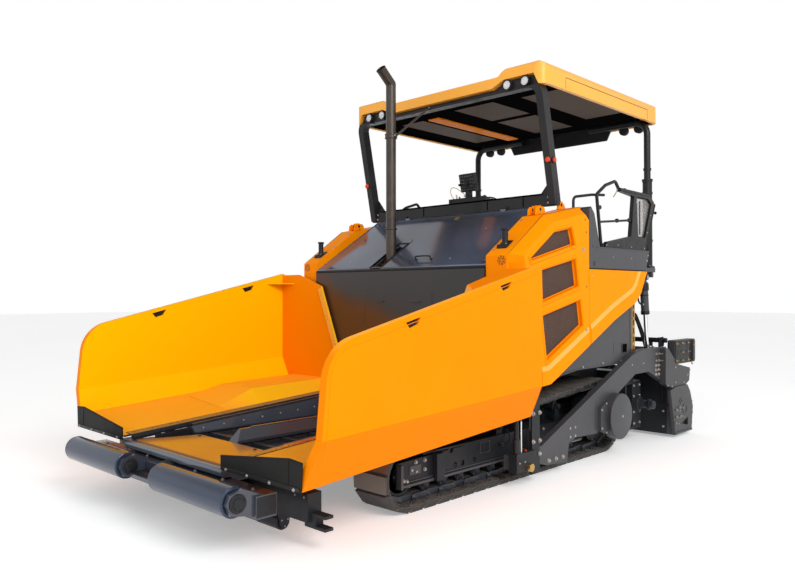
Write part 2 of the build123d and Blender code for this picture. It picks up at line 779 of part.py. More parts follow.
def build_service_door():
    """Side door: a bevelled frame around three grille windows."""
    back = [(pod_split_x + fit_gap, y, z) for y, z in door_back]
    front = [(side_x, y, z) for y, z in door_face]
    faces = [make_face(Polyline(*points, close=True)) for points in (back, front)]
    door = loft(faces, ruled=True)
    for window in grille_windows:
        door -= side_plate(window, pod_split_x, side_x + 1)
    for z in door_knuckles:
        door += door_knuckle(z, knuckle_length, door_knuckle_r)
        door -= door_knuckle(z + knuckle_length, knuckle_length + 2, door_knuckle_r + pin_gap)
    return door


def build_door_grilles():
    """Mesh panels set into the windows of a door."""
    panels = []
    middle = (pod_split_x + side_x) / 2
    for window in grille_windows:
        panels.append(side_plate(window, middle - 4, middle + 4))
    return panels


def build_side_tail():
    """Coloured panel behind the door that runs out to a point below the platform."""
    outline = [(door_rear_y + door_gap, 1175), (1236, 1411), (1684, 1579), (1809, 1679),
               (1956, 1922), (door_rear_y + door_gap, 1922)]
    tail = side_plate(outline, panel_x + fit_gap, side_x)
    for z in door_knuckles:
        tail -= door_knuckle(z - 1, knuckle_length + 2, door_knuckle_r + pin_gap)
        tail += door_knuckle(z + knuckle_length + fit_gap, knuckle_length, door_knuckle_r)
    return tail


def build_lower_panel():
    """Grey panel above the track, its arch following the top run."""
    high = panel_x
    outline = [(-98, 845), (250, 845), (440, 890), (740, 921), (1885, 924), (1885, 1922),
               (door_rear_y + 60, 1922), (door_rear_y + 60, 1180)]
    panel = side_plate(outline, high - panel_sheet, high)
    panel -= side_plate([(-140, 840), (-140, 2000), (door_rear_y + 6, 2000), (door_rear_y + 6, 1174.4),
                         (21, 859 - fit_gap)], high - panel_sheet - 1, high + 1)
    panel -= box((high - 40, high + 1), (1486, 1606), (1042, 1149))
    return panel


def build_rear_housing():
    """Tank and pump housing under the platform, with the step strips at its rear."""
    low = tunnel_roof_z + fit_gap
    half = panel_x - panel_sheet - fit_gap
    housing = box((-half, half), (door_rear_y + 6, 1900), (960, deck_z - fit_gap))
    housing += box((-frame_half_width + 40, frame_half_width - 40), (door_rear_y + 6, 1900), (low, 961))
    strip_x = panel_x - 70
    for x in (strip_x, -strip_x):
        strip = box((x - 52, x + 52), (1890, 1940), (1040, 1900))
        for i in range(7):
            strip -= box((x - 34, x + 34), (1880, 1950), (1080 + i * 112, 1150 + i * 112))
        housing += strip
    return housing


def build_engine():
    block = box((-420, 420), (-330, 640), (tunnel_roof_z + 60, 1650))
    head = box((-250, 250), (-250, 560), (1649, 1850))
    feet = box((-380, 380), (-300, 600), (tunnel_roof_z + fit_gap, tunnel_roof_z + 61))
    return block + head + feet


def hood_line(y):
    """Upper surface of the hood at a place along the machine."""
    share = (y - body_front_y) / (hood_rear_y - body_front_y)
    return hood_front_z + share * (hood_rear_z - hood_front_z)


def build_hood():
    """Sloped hood with turned-down rims and a slot that passes the exhaust."""
    front = body_front_y + 4
    half = pod_inner_x - run_gap
    outline = [(front, hood_front_z - 28), (front, hood_line(front)), (hood_rear_y, hood_rear_z),
               (hood_rear_y, hood_rear_z - 40), (front + 40, hood_line(front + 40) - hood_sheet)]
    hood = side_plate(outline, -half, half)
    rim = [(front, hood_front_z - 28), (front, hood_line(front)), (hood_rear_y, hood_rear_z),
           (hood_rear_y, hood_rear_z - 110), (front + 60, hood_front_z - 28)]
    hood += side_plate(rim, half - 14, half) + side_plate(rim, -half, -half + 14)
    for low in (-hood_hinge_x - 62, hood_hinge_x):
        hood += x_rod(low, low + 62, hood_rear_y, hood_rear_z, 14)
        hood -= x_rod(low - 20, low + 82, hood_rear_y, hood_rear_z, 8 + pin_gap)
    notch = (hood_hinge_x + 62, hood_hinge_x + 82)
    for low, high in (notch, (-notch[1], -notch[0])):
        cut_z = (hood_rear_z - 200, hood_rear_z + 20)
        hood -= box((low, high), (hood_rear_y - 26, hood_rear_y + 20), cut_z)
    reach = exhaust_r + exhaust_slot
    hood -= box((exhaust_x - reach, exhaust_x + reach), (front - 5, -100), (1800, 2600))
    return hood


def build_exhaust():
    """Upright pipe with a mitred outlet that leans forward."""
    low = (exhaust_x, exhaust_y, 1851 + fit_gap)
    bend = (exhaust_x, exhaust_y, exhaust_top_z)
    tip = (exhaust_x, exhaust_y - 150, exhaust_top_z + 130)
    pipe = rod((low[0], low[1], 1905), bend, exhaust_r)
    pipe += Pos(*bend) * Sphere(exhaust_r)
    pipe += rod(bend, tip, exhaust_r)
    pipe += box((exhaust_x - 45, exhaust_x + 45), (exhaust_y - 45, -240), (1851 + fit_gap, 1930))
    pipe -= rod((bend[0], bend[1], 1960), bend, exhaust_r - 5)
    pipe -= Pos(*bend) * Sphere(exhaust_r - 5)
    aim = Vector(*tip) - Vector(*bend)
    pipe -= rod(bend, tuple(Vector(*tip) + aim * 0.1), exhaust_r - 5)
    collar = rod((exhaust_x, exhaust_y, 3310), (exhaust_x, exhaust_y, 3350), exhaust_r + 9)
    collar -= rod((exhaust_x, exhaust_y, 3300), (exhaust_x, exhaust_y, 3360), exhaust_r - 1)
    stay_end = (exhaust_x + 70, canopy_y[0] + 52, canopy_low_z + 22)
    stay = rod((exhaust_x + 50, exhaust_y + 20, 3330), stay_end, 11)
    tab_y = (stay_end[1] - 2, canopy_y[0] + 60 - fit_gap)
    tab = box((stay_end[0] - 18, stay_end[0] + 18), tab_y, (canopy_low_z + 4, canopy_low_z + 38))
    return pipe + collar + stay + tab


# ---- platform ------------------------------------------------------------------------------

def build_deck():
    """Operator's floor with the side sills, corner posts and the rear overhang."""
    front = door_rear_y + 6
    deck = box((-side_x, side_x), (front, 1956), (deck_z, deck_z + deck_thickness))
    deck += box((-post_x - 60, post_x + 60), (1955, deck_rear_y), (deck_z, deck_z + deck_thickness))
    sill = side_plate([(front, deck_z), (1940, deck_z), (2020, sill_top_z), (front + 70, sill_top_z)],
                      side_x - 90, side_x)
    sill += side_plate([(front, deck_z + 20), (front + 2, 2515), (754, 2540), (820, 2475),
                        (925, 2162), (925, deck_z + 20)], pod_split_x - 200, side_x)
    sill += box((-1, 1300), (front, front + 30), (deck_z + 10, 2500))
    for spot in (2150, 2470):
        sill += box((lift_x - 70, lift_x + 70), (spot - 20, spot + 20), (1870, deck_z + 1))
    clevis = lift_top[0]
    for low in (-eye_width / 2 - lug_sheet - fit_gap, eye_width / 2 + fit_gap):
        sill += box((lift_x + low, lift_x + low + lug_sheet), (clevis - 32, clevis + 32),
                    (lift_top[1] - 32, deck_z + 1))
    sill += x_rod(lift_x - eye_width / 2 - 1, lift_x + eye_width / 2 + 1, *lift_top, eye_pin_r)
    return deck + sill + other_side(sill)


def build_portal():
    """Front posts and the cross beam that carries them."""
    low_z = portal_foot_z
    cross = box((-1290, 1290), (452, 512), (low_z, low_z + 115))
    line = [(post_x, 482, low_z + 20), (post_x - 6, 246, canopy_low_z + 12),
            (post_x - 190, 250, canopy_low_z + 30)]
    path = FilletPolyline(*line, radius=120)
    section = Plane(origin=line[0], x_dir=(1, 0, 0), z_dir=path % 0) * Rectangle(76, 100)
    post = sweep(section, path=path)
    gusset = front_plate([(post_x - 40, low_z + 100), (post_x - 160, low_z + 114),
                          (post_x - 40, low_z + 260)], 466, 490)
    cheek_line = [(453, low_z + 5), (453, low_z + 50), (hood_rear_y, hood_rear_z + 16),
                  (hood_rear_y - 12, hood_rear_z + 5), (hood_rear_y - 12, hood_rear_z - 12),
                  (hood_rear_y + 12, hood_rear_z - 12)]
    cheek = side_plate(cheek_line, hood_hinge_x + 62 + fit_gap, hood_hinge_x + 76)
    cheek += x_rod(hood_hinge_x, hood_hinge_x + 63, hood_rear_y, hood_rear_z, 8)
    side = joined([post, gusset]) - box((900, 1400), (100, 500), (canopy_low_z - fit_gap, canopy_high_z))
    side += cheek
    return cross + side + other_side(side)


def build_canopy_roof():
    """Roof shell with raised corners and a hollow underside."""
    half = canopy_half
    front, rear = canopy_y
    crown = [(x, front, z) for x, z in
             [(-half, canopy_low_z), (-half, canopy_high_z), (-870, canopy_high_z), (-780, canopy_mid_z),
              (780, canopy_mid_z), (870, canopy_high_z), (half, canopy_high_z), (half, canopy_low_z)]]
    across = round_outline(crown, [roof_round, 60, 60, 60, 60, roof_round])
    roof = extrude(across, amount=rear - front, dir=(0, 1, 0))
    flank = [(-half, y, z) for y, z in
             [(front, canopy_low_z), (front, canopy_high_z), (rear, canopy_high_z), (rear, canopy_low_z)]]
    roof &= extrude(round_outline(flank, [55, 55]), amount=2 * half, dir=(1, 0, 0))
    plan = RectangleRounded(2 * half, rear - front, plan_round)
    roof &= Pos(0, (front + rear) / 2, canopy_low_z) * extrude(plan, amount=canopy_high_z - canopy_low_z)
    shell = canopy_shell
    inner = [(-half + shell, canopy_low_z - 1), (-half + shell, canopy_mid_z - shell),
             (half - shell, canopy_mid_z - shell), (half - shell, canopy_low_z - 1)]
    roof -= front_plate(inner, canopy_y[0] + 120, canopy_y[1] - shell)
    brow = canopy_high_z - 120
    dip = brow - 65
    notch = [(-half + 60, canopy_low_z - 1), (-half + 110, brow), (-850, brow), (-700, dip),
             (700, dip), (850, brow), (half - 110, brow), (half - 60, canopy_low_z - 1)]
    roof -= front_plate(notch, canopy_y[0] - 1, canopy_y[0] + 130)
    return roof


def build_canopy_frame():
    """Beams under the roof, the rear tubes with their sockets."""
    top = canopy_mid_z - canopy_shell - fit_gap
    shapes = []
    for x in (-1130, -720, 0, 720, 1130):
        shapes.append(box((x - 35, x + 35), (canopy_y[0] + 125, canopy_y[1] - 60), (top - 50, top)))
    for y in (360, 1500, 2440):
        shapes.append(box((-1265, 1265), (y - 40, y + 40), (top - 62, top)))
    bar = box((-1200, 1200), (canopy_y[0] + 60, canopy_y[0] + 125), (canopy_low_z, canopy_low_z + 40))
    bar += box((-1200, 1200), (canopy_y[0] + 122, canopy_y[0] + 160), (canopy_low_z, top - 20))
    shapes.append(bar)
    visor_z = canopy_low_z - 120
    visor = [(-780, top - 50), (-690, visor_z), (690, visor_z), (780, top - 50)]
    shapes.append(front_plate(visor, 2560, 2580))
    shapes.append(box((-1200, 1200), (2470, 2575), (top - rear_beam_drop, top - 6)))
    frame = joined(shapes)
    tube_z = canopy_low_z + 15
    points = [(post_x, rear_post_y, 2720), (post_x, rear_post_y, tube_z), (500, rear_post_y, tube_z)]
    tube = bent_tube(points, 150, rear_post_r)
    return frame + tube + other_side(tube)


def build_post_sockets():
    low = deck_z + deck_thickness
    outer = rod((post_x, rear_post_y, low + fit_gap), (post_x, rear_post_y, 3010), rear_post_r + 16)
    outer -= rod((post_x, rear_post_y, 2700), (post_x, rear_post_y, 3011), rear_post_r + pin_gap)
    foot = box((post_x - 80, post_x + 60), (rear_post_y - 60, rear_post_y + 60), (low + fit_gap, low + 20))
    return outer + foot


def build_lamps():
    """Round work lamps: four in front, four at the rear, and the marker lamps."""
    lamps = []
    for x in front_lamps_x:
        front = canopy_y[0] + 60 - fit_gap
        lamps.append(rod((x, front - 45, canopy_low_z + 55), (x, front, canopy_low_z + 55), lamp_r))
    beam_low = canopy_mid_z - canopy_shell - rear_beam_drop - 2 * fit_gap
    for x in rear_lamps_x:
        z = canopy_low_z - 35
        lamps.append(rod((x, rear_lamp_y, z), (x, rear_lamp_y + 60, z), lamp_r + 2)
                     + box((x - 12, x + 12), (rear_lamp_y + 5, rear_lamp_y + 25), (z + 10, beam_low)))
    mark = rod((post_x + 36.3, 395, 2976), (post_x + 60, 395, 2976), 24)
    lamps.append(mark)
    return lamps + [other_side(lamp) for lamp in lamps]


station_opening = [(1860, 2300), (2030, 2300), (2190, 2690), (2110, 2740), (1830, 2740)]   # y, z


def build_station():
    """Side frame of the operator's station: lower board, rear column and top bar."""
    x_low, x_high = 1395, 1440
    outline = [(1112, sill_top_z + fit_gap), (2035, sill_top_z + fit_gap), (2284, 2694), (2132, 2793),
               (1468, 2800), (1468, 2765), (1773, 2737), (1700, 2300), (1180, 2215)]
    frame = side_plate(outline, x_low, x_high)
    frame -= side_plate(station_opening, x_low - 1, x_high + 1)
    frame += box((x_low, x_high), (1790, 1818), (2290, 2770))
    return frame


def build_station_window():
    face = make_face(Polyline(*[(1414, y, z) for y, z in station_opening], close=True))
    pane = offset(face, amount=-fit_gap, kind=Kind.INTERSECTION)
    return extrude(pane, amount=6, dir=(1, 0, 0))


def build_handrails():
    """Tubes along the front and the sides of the platform."""
    r = 17
    loop_points = [(1415, 1089, sill_top_z + 3.2), (1415, 998, 2690), (1415, 1180, 2800),
                   (1415, 1390, 2865), (1415, 1455, 2800)]
    side = bent_tube(loop_points, 45, r)
    side += bent_tube([(1300, 742, 2541), (1300, 744, 2650), (1360, 1000, 2690), (1400, 1180, 2700)],
                      [50, 60], 14)
    side += rod((1415, 1050, 2413), (1415, 1722, 2476), 12)
    return side


def build_console():
    """Control stand with a desk and a screen."""
    low = deck_z + deck_thickness + fit_gap
    x = console_x
    y = console_y
    stand = box((x - 160, x + 160), (y + 10, y + 190), (low, low + 40))
    stand += box((x - 110, x + 110), (y + 30, y + 150), (low + 39, 2750))
    desk = side_plate([(y - 60, 2760), (y + 260, 2690), (y + 260, 2730), (y - 60, 2830)],
                      x - 280, x + 280)
    neck = beam((x - 40, y + 40, 2760), (x - 40, y + 30, 2930), 60, 60)
    screen = plate([(x - 150, y + 20, 2910), (x + 70, y + 20, 2910), (x + 70, y - 30, 3120),
                    (x - 150, y - 30, 3120)], (0, 60, 16))
    return joined([stand, desk, neck, screen])


def build_seat():
    low = deck_z + deck_thickness + fit_gap
    y = seat_y
    base = box((seat_x - 190, seat_x + 190), (y + 40, y + 380), (low, low + 300))
    pan = box((seat_x - 240, seat_x + 240), (y, y + 470), (low + 299, low + 420))
    back = side_plate([(y + 400, low + 419), (y + 540, low + 419), (y + 590, 2700), (y + 510, 2720)],
                      seat_x - 230, seat_x + 230)
    back += side_plate([(y + 380, low + 330), (y + 540, low + 330), (y + 540, low + 420),
                        (y + 380, low + 420)], seat_x - 230, seat_x + 230)
    arm = box((seat_x + 240, seat_x + 290), (y + 120, y + 460), (low + 400, low + 540))
    arm += box((seat_x + 225, seat_x + 290), (y + 200, y + 300), (low + 360, low + 410))
    return joined([base, pan, back, arm])


# ---- tow points, arms and screed -----------------------------------------------------------

arm_inner_x = arm_outer_x - arm_thickness


def build_tow_slide():
    """Block that runs on the guide plate, its pin to the arm and its rod."""
    block = box(tow_block_x, (tow_block_y[0], tow_block_y[1] + 60), tow_block_z)
    block += x_rod(arm_inner_x, tow_block_x[0] + 10, tow_y, tow_z, tow_pin_r)
    block += x_rod(tow_block_x[1] - 1, tow_block_x[1] + 32, -346, 171, 35)
    block += rod((level_x, -480, tow_block_z[1] - 5), (level_x, -480, 900), 20)
    return block


def build_leveling_barrel():
    """Upright cylinder behind the wing that lifts the tow point."""
    barrel = rod((level_x, -480, 600), (level_x, -480, 1150), 40)
    barrel -= rod((level_x, -480, 590), (level_x, -480, 900 + tow_travel + 20), 20 + pin_gap)
    barrel += box((level_x - 60, level_x - 20), (-500, -228 - fit_gap), (770, guide_top_z))
    return barrel


def arm_outline():
    return [(tow_y - 60, 160), (tow_y + 60, 150), (0, 130), (64, 105), (423, 76), (461, 249),
            (572, 285), (1000, 271), (1295, 571), (1838, 799), (2164, 803), (2596, 625),
            (2620, 1058), (2002, 1064), (1762, 1009), (-13, 294), (tow_y + 60, 290), (tow_y - 60, 280)]


def build_tow_arms():
    """Both arms with their covers, tied by the cross bar."""
    arm = side_plate(arm_outline(), arm_inner_x, arm_outer_x)
    arm -= x_rod(arm_inner_x - 1, arm_outer_x + 1, tow_y, tow_z, tow_pin_r + pin_gap)
    cover = x_rod(arm_outer_x - 1, arm_outer_x + 90, *arm_cover, arm_cover_r)
    cover -= box((arm_outer_x - 5, arm_outer_x + 95), (1000, 1137), (100, 700))
    cover += side_plate([(1010, 300), (1140, 244), (1140, 583), (1010, 520)], arm_outer_x - 1, 1450)
    eye_plate = box((lift_x + lift_boss + fit_gap, arm_inner_x + 1),
                    (lift_eye[0] - 60, lift_eye[0] + 60), (950, 1058))
    arm += cover + eye_plate
    bar = x_rod(-arm_inner_x - 5, arm_inner_x + 5, *arm_bar, arm_bar_r)
    return arm + other_side(arm) + bar


def build_lift_parts():
    """Barrel and rod of the lift cylinder, made flat and turned into place."""
    reach = (lift_eye[0] - lift_top[0], lift_eye[1] - lift_top[1])
    plane = Plane(origin=(lift_x, *lift_top), x_dir=(0, 1, 0), z_dir=(1, 0, 0))
    inside = lift_barrel_end - 59
    barrel, bar = cylinder_pair(reach, lift_barrel_r, lift_rod_r, lift_barrel_end, inside, eye_r,
                                lift_boss)
    return plane * barrel, plane * bar


def build_screed():
    """Screed box with its sole, front plate, end plates and top boxes."""
    half = screed_half - end_plate
    low = screed_low_z
    body = box((-half, half), (screed_front_y + 14, screed_rear_y), (low + 25, 420))
    sole = box((-half, half), (screed_front_y + 14, screed_rear_y), (low, low + 26))
    front = box((-half, half), (screed_front_y, screed_front_y + 15), (low, 800))
    top = box((-half + 60, half - 60), (screed_front_y + 30, screed_rear_y - 120), (419, 740))
    end = side_plate([(2518, 559), (screed_front_y, low), (3116, low), (3159, 319), (3083, 505),
                      (3005, 592), (2683, 590)], half - 1, screed_half)
    end -= x_rod(half - 5, screed_half + 5, 2924, 313, 50)
    end -= x_rod(half - 5, screed_half + 5, 2819, 415, 25)
    end -= side_plate([(2789, 147), (3020, 214), (3018, 102)], half - 5, screed_half + 5)
    hanger = side_plate([(2453, 1050), (2448, 640), (2683, 560), (3005, 592), (3104, 632),
                         (3126, 784), (2779, 849), (2520, 1050)], arm_outer_x + fit_gap, half + 10)
    side_box = box((1390, half + 10), (2700, 3285), (850, 1130))
    side_box = fillet(side_box.edges().filter_by(Axis.X), 40)
    hanger += side_box + box((1405, half), (2720, 2790), (780, 860))
    return joined([body, sole, front, top, end, hanger, other_side(end), other_side(hanger)])


# ---- augers --------------------------------------------------------------------------------

def triangle(a, b, c):
    return Face(Wire.make_polygon([a, b, c], close=True))


def auger_flight(start, end):
    """One flight as flat facets between turning radii."""
    count = int(abs(end - start) / auger_pitch * auger_steps)
    thick = 14
    inner_r = auger_shaft_r - 6
    rings = []
    for i in range(count + 1):
        x = start + (end - start - thick) * i / count
        angle = 2 * pi * i / auger_steps
        ring = [Vector(x + dx, auger_y + r * cos(angle), auger_z + r * sin(angle))
                for r, dx in ((inner_r, 0), (auger_r, 0), (auger_r, thick), (inner_r, thick))]
        rings.append(ring)
    faces = []
    for before, after in zip(rings, rings[1:]):
        for j in range(4):
            a, b = before[j], before[(j + 1) % 4]
            c, d = after[(j + 1) % 4], after[j]
            faces += [triangle(a, b, c), triangle(a, c, d)]
    for ring in (rings[0], rings[-1]):
        faces += [triangle(ring[0], ring[1], ring[2]), triangle(ring[0], ring[2], ring[3])]
    return Solid(Shell(faces))


def build_auger():
    shaft = x_rod(auger_in_x, auger_stub_x, auger_y, auger_z, auger_shaft_r)
    flange = x_rod(auger_plate_x[1] + 12, auger_plate_x[1] + 34, auger_y, auger_z, 78)
    flight = auger_flight(auger_in_x + 12, auger_plate_x[0] - 15)
    return shaft + flange + flight


def build_auger_support():
    """Beam behind the tractor with the bearing plates and the middle drive case."""
    rear = body_rear_y + fit_gap
    beam_body = box((-auger_plate_x[1], auger_plate_x[1]), (rear, 2150), (680, 800))
    case = box((-auger_in_x + run_gap, auger_in_x - run_gap), (2080, 2330), (330, 720))
    plates = box(auger_plate_x, (rear, 2330), (140, 680))
    plates -= x_rod(auger_plate_x[0] - 1, auger_plate_x[1] + 1, auger_y, auger_z,
                    auger_shaft_r + pin_gap)
    plates -= box((auger_plate_x[0] + 20, auger_plate_x[1] + 1), (1990, 2130), (170, 650))
    return beam_body + case + plates + other_side(plates)


# ---- export --------------------------------------------------------------------------------

def export_all():
    save("main_frame", build_main_frame())
    save_sides("track", build_track())
    save_sides("track_frame", build_track_frame())
    wheels = build_track_wheels()
    save("track_wheels_left", *wheels)
    save("track_wheels_right", *[other_side(wheel) for wheel in wheels])
    save("push_beam", build_push_beam())
    save_sides("push_roller", build_push_roller())
    save("conveyor_deck", build_conveyor_deck())
    conveyor = build_conveyor(14, tunnel_half_width - 12)
    save("conveyors", conveyor, other_side(conveyor))
    ridge, cover = build_guards()
    save("chain_guards", ridge, cover, other_side(cover))
    apron, lip = build_apron()
    save("front_apron", apron)
    save("front_lip", lip)
    save("hopper_rear_wall", build_rear_wall())
    save_sides("hopper_wing", build_wing())
    save_sides("wing_flap", build_flap())
    length = hypot(*wing_reach)
    barrel, bar = cylinder_pair(wing_reach, wing_barrel_r, wing_rod_r, length - 100, 190, eye_r)
    save_sides("wing_barrel", wing_plane * barrel)
    save_sides("wing_rod", wing_plane * bar)
    save("engine", build_engine())
    save_sides("side_pod", build_side_pod())
    save_sides("service_door", build_service_door())
    grilles = build_door_grilles()
    save("door_grilles_left", *grilles)
    save("door_grilles_right", *[other_side(panel) for panel in grilles])
    save("side_tails", *both_sides(build_side_tail()))
    save("lower_panels", *both_sides(build_lower_panel()))
    save("rear_housing", build_rear_housing())
    save("hood", build_hood())
    save("exhaust", build_exhaust())
    save("platform_deck", build_deck())
    save("front_portal", build_portal())
    save("canopy_roof", build_canopy_roof())
    save("canopy_frame", build_canopy_frame())
    save("post_sockets", *both_sides(build_post_sockets()))
    save("lamps", *build_lamps())
    save("side_stations", *both_sides(build_station()))
    save("station_windows", *both_sides(build_station_window()))
    save("handrails", *both_sides(build_handrails()))
    save("console", build_console())
    save("seats", *both_sides(build_seat()))
    save("tow_slides", *both_sides(build_tow_slide()))
    save("leveling_barrels", *both_sides(build_leveling_barrel()))
    save("tow_arms", build_tow_arms())
    save("screed", build_screed())
    lift_barrel, lift_rod = build_lift_parts()
    save("lift_barrels", *both_sides(lift_barrel))
    save("lift_rods", *both_sides(lift_rod))
    save_sides("auger", build_auger())
    save("auger_support", build_auger_support())


export_all()
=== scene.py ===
import math

import bmesh
import bpy
from mathutils import Matrix, Vector


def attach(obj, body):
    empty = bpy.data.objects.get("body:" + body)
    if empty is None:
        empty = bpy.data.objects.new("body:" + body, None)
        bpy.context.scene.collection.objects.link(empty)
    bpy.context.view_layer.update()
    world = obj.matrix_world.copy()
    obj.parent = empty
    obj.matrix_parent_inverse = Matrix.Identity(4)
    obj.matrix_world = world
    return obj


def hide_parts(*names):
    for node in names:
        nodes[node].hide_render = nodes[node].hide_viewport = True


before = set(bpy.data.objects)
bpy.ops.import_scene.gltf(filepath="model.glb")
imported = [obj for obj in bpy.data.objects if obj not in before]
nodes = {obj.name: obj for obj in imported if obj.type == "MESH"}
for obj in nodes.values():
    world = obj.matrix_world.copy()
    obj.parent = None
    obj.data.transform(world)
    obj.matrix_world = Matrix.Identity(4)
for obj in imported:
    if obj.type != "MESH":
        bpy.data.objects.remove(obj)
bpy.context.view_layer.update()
print("frame loaded:", len(nodes), "nodes")

# Metres. The hopper faces -Y, the machine's left side is +X, the ground is z = 0.
toSide, toRear, toFront, toTop = (1, 0, 0), (0, 1, 0), (0, -1, 0), (0, 0, 1)
bodySide = 1.4895  # outer face of the doors, the tails and the deck's sill


def newMaterial(name):
    material = bpy.data.materials.new(name)
    material.use_nodes = True
    tree = material.node_tree
    return material, tree, tree.nodes["Principled BSDF"]


def addNode(tree, kind, inputs=None, **settings):
    node = tree.nodes.new(kind)
    for key, value in settings.items():
        setattr(node, key, value)
    for key, value in (inputs or {}).items():
        if isinstance(value, bpy.types.NodeSocket):
            tree.links.new(value, node.inputs[key])
        else:
            node.inputs[key].default_value = value
    return node


def objectCoords(tree, stretch=(1, 1, 1)):
    coords = addNode(tree, "ShaderNodeTexCoord").outputs["Object"]
    return addNode(tree, "ShaderNodeMapping", {"Vector": coords,
        "Scale": stretch}).outputs["Vector"]


def axisOf(tree, axis, kind):
    # one axis of a point's place ("Object") or of the way it faces ("Normal")
    source = addNode(tree, "ShaderNodeTexCoord").outputs[kind]
    return addNode(tree, "ShaderNodeSeparateXYZ", {0: source}).outputs[axis]


def worldNormal(tree):
    return addNode(tree, "ShaderNodeNewGeometry").outputs["Normal"]


def noise(tree, coords, scale, detail=4.0, rough=0.55):
    return addNode(tree, "ShaderNodeTexNoise", {"Vector": coords, "Scale": scale, "Detail": detail,
        "Roughness": rough}).outputs["Fac"]


def ramp(tree, source, stops):
    node = addNode(tree, "ShaderNodeValToRGB", {"Fac": source})
    elements = node.color_ramp.elements
    for element, (position, value) in zip(elements, stops):
        element.position = position
        element.color = (value, value, value, 1) if isinstance(value, (int, float)) else (*value, 1)
    return node.outputs["Color"]


def mixColors(tree, factor, first, second):
    node = addNode(tree, "ShaderNodeMix", data_type="RGBA")
    for index, value in ((0, factor), (6, first), (7, second)):
        if isinstance(value, bpy.types.NodeSocket):
            tree.links.new(value, node.inputs[index])
        elif isinstance(value, (int, float)):
            node.inputs[index].default_value = value
        else:
            node.inputs[index].default_value = (*value, 1)
    return node.outputs[2]


def maths(tree, operation, *values):
    return addNode(tree, "ShaderNodeMath", dict(enumerate(values)), operation=operation).outputs[0]


def times(tree, first, second):
    return maths(tree, "MULTIPLY", first, second)


def roundedNormal(tree, radius):
    return addNode(tree, "ShaderNodeBevel", {"Radius": radius}, samples=4).outputs["Normal"]


def edgeMask(tree, normal):
    # bright where the rounded normal leaves the flat one, so along the edges
    dot = addNode(tree, "ShaderNodeVectorMath", {0: normal, 1: worldNormal(tree)},
        operation="DOT_PRODUCT")
    return ramp(tree, dot.outputs["Value"], [(0.75, 1.0), (0.97, 0.0)])


def bump(tree, height, strength, distance, normal):
    return addNode(tree, "ShaderNodeBump", {"Height": height, "Strength": strength,
        "Distance": distance, "Normal": normal}).outputs["Normal"]


def paintedMetal(name, look):
    # sprayed paint: broad tone shifts, orange peel, dust on upward faces, worn edges
    material, tree, shader = newMaterial(name)
    coords = objectCoords(tree)
    broad = noise(tree, coords, look.get("toneScale", 0.9), 3)
    tone = mixColors(tree, ramp(tree, broad, [(0.35, 0.0), (0.68, 1.0)]), look["color"],
        look["tone"])
    # inner, under, upper and low paint light, shade and reflection into the colour
    if "inner" in look:
        # faces turned to the middle get a lighter orange: painted light on the wings' inner walls
        turned = times(tree, axisOf(tree, "X", "Object"), axisOf(tree, "X", "Normal"))
        paintedLightInward = ramp(tree, times(tree, turned, -1.0), [(0.05, 0.0), (0.3, 1.0)])
        tone = mixColors(tree, paintedLightInward, tone, look["inner"])
    if "under" in look:
        # faces that look down get a darker orange: painted shade
        paintedShadeBelow = ramp(tree, times(tree, axisOf(tree, "Z", "Normal"), -1.0),
            [(0.02, 0.0), (0.25, 1.0)])
        tone = mixColors(tree, paintedShadeBelow, tone, look["under"])
    if "upper" in look:
        # floors and rims that look up get a paler orange: a painted highlight
        upward = ramp(tree, axisOf(tree, "Z", "Normal"), [(0.6, 0.0), (0.95, 1.0)])
        tone = mixColors(tree, upward, tone, look["upper"])
    for key, test in (("near", "LESS_THAN"), ("outer", "GREATER_THAN")):
        # hinge seats near the middle, or end pieces far from it, in a coat of their own
        if key in look:
            reach = maths(tree, "ABSOLUTE", axisOf(tree, "X", "Object"))
            tone = mixColors(tree, maths(tree, test, reach, look[key + "Limit"]), tone, look[key])
    if "low" in look:
        # a painted warm reflection of the orange hopper on the wall, fading upward
        rise = maths(tree, "MULTIPLY_ADD", axisOf(tree, "X", "Object"), 0.4,
            axisOf(tree, "Z", "Object"))
        wave = maths(tree, "MULTIPLY_ADD", noise(tree, coords, 1.1, 2), 0.5, rise)
        reflectionFade = {0: wave, 1: look["lowLimit"], 2: look["lowLimit"] - 0.22, 3: 0.0, 4: 1.0}
        tone = mixColors(tree, addNode(tree, "ShaderNodeMapRange", reflectionFade).outputs[0],
            tone, look["low"])
    normal = roundedNormal(tree, look.get("edgeRadius", 0.004))
    speckle = ramp(tree, noise(tree, coords, 3.0, 5), [(0.46, 0.0), (0.78, look["dust"])])
    upward = addNode(tree, "ShaderNodeSeparateXYZ", {0: worldNormal(tree)}).outputs["Z"]
    dusty = times(tree, speckle, ramp(tree, upward, [(0.2, 0.35), (0.9, 1.0)]))
    tone = mixColors(tree, dusty, tone, look["dustColor"])
    rubbed = ramp(tree, noise(tree, coords, 21.0, 5), [(0.42, 0.0), (0.62, look["wear"])])
    tone = mixColors(tree, times(tree, edgeMask(tree, normal), rubbed), tone, look["wearColor"])
    tree.links.new(tone, shader.inputs["Base Color"])
    smooth, patch = look["rough"], look.get("patch", 0.35)
    spread = ramp(tree, noise(tree, coords, 14.0, 6), [(0.3, smooth * (1 - patch / 2)),
        (0.75, min(1.0, smooth * (1 + patch)))])
    tree.links.new(mixColors(tree, dusty, spread, (0.75, 0.75, 0.75)), shader.inputs["Roughness"])
    shader.inputs["Metallic"].default_value = look.get("metallic", 0.0)
    shader.inputs["Specular IOR Level"].default_value = look.get("gloss", 0.25)
    shader.inputs["Coat Weight"].default_value = look.get("coat", 0.0)
    shader.inputs["Coat Roughness"].default_value = 0.08
    height = mixColors(tree, 0.5, noise(tree, coords, 260.0, 2), noise(tree, coords, 2.2, 1))
    tree.links.new(bump(tree, height, look.get("peel", 0.12), 0.0012, normal),
        shader.inputs["Normal"])
    return material


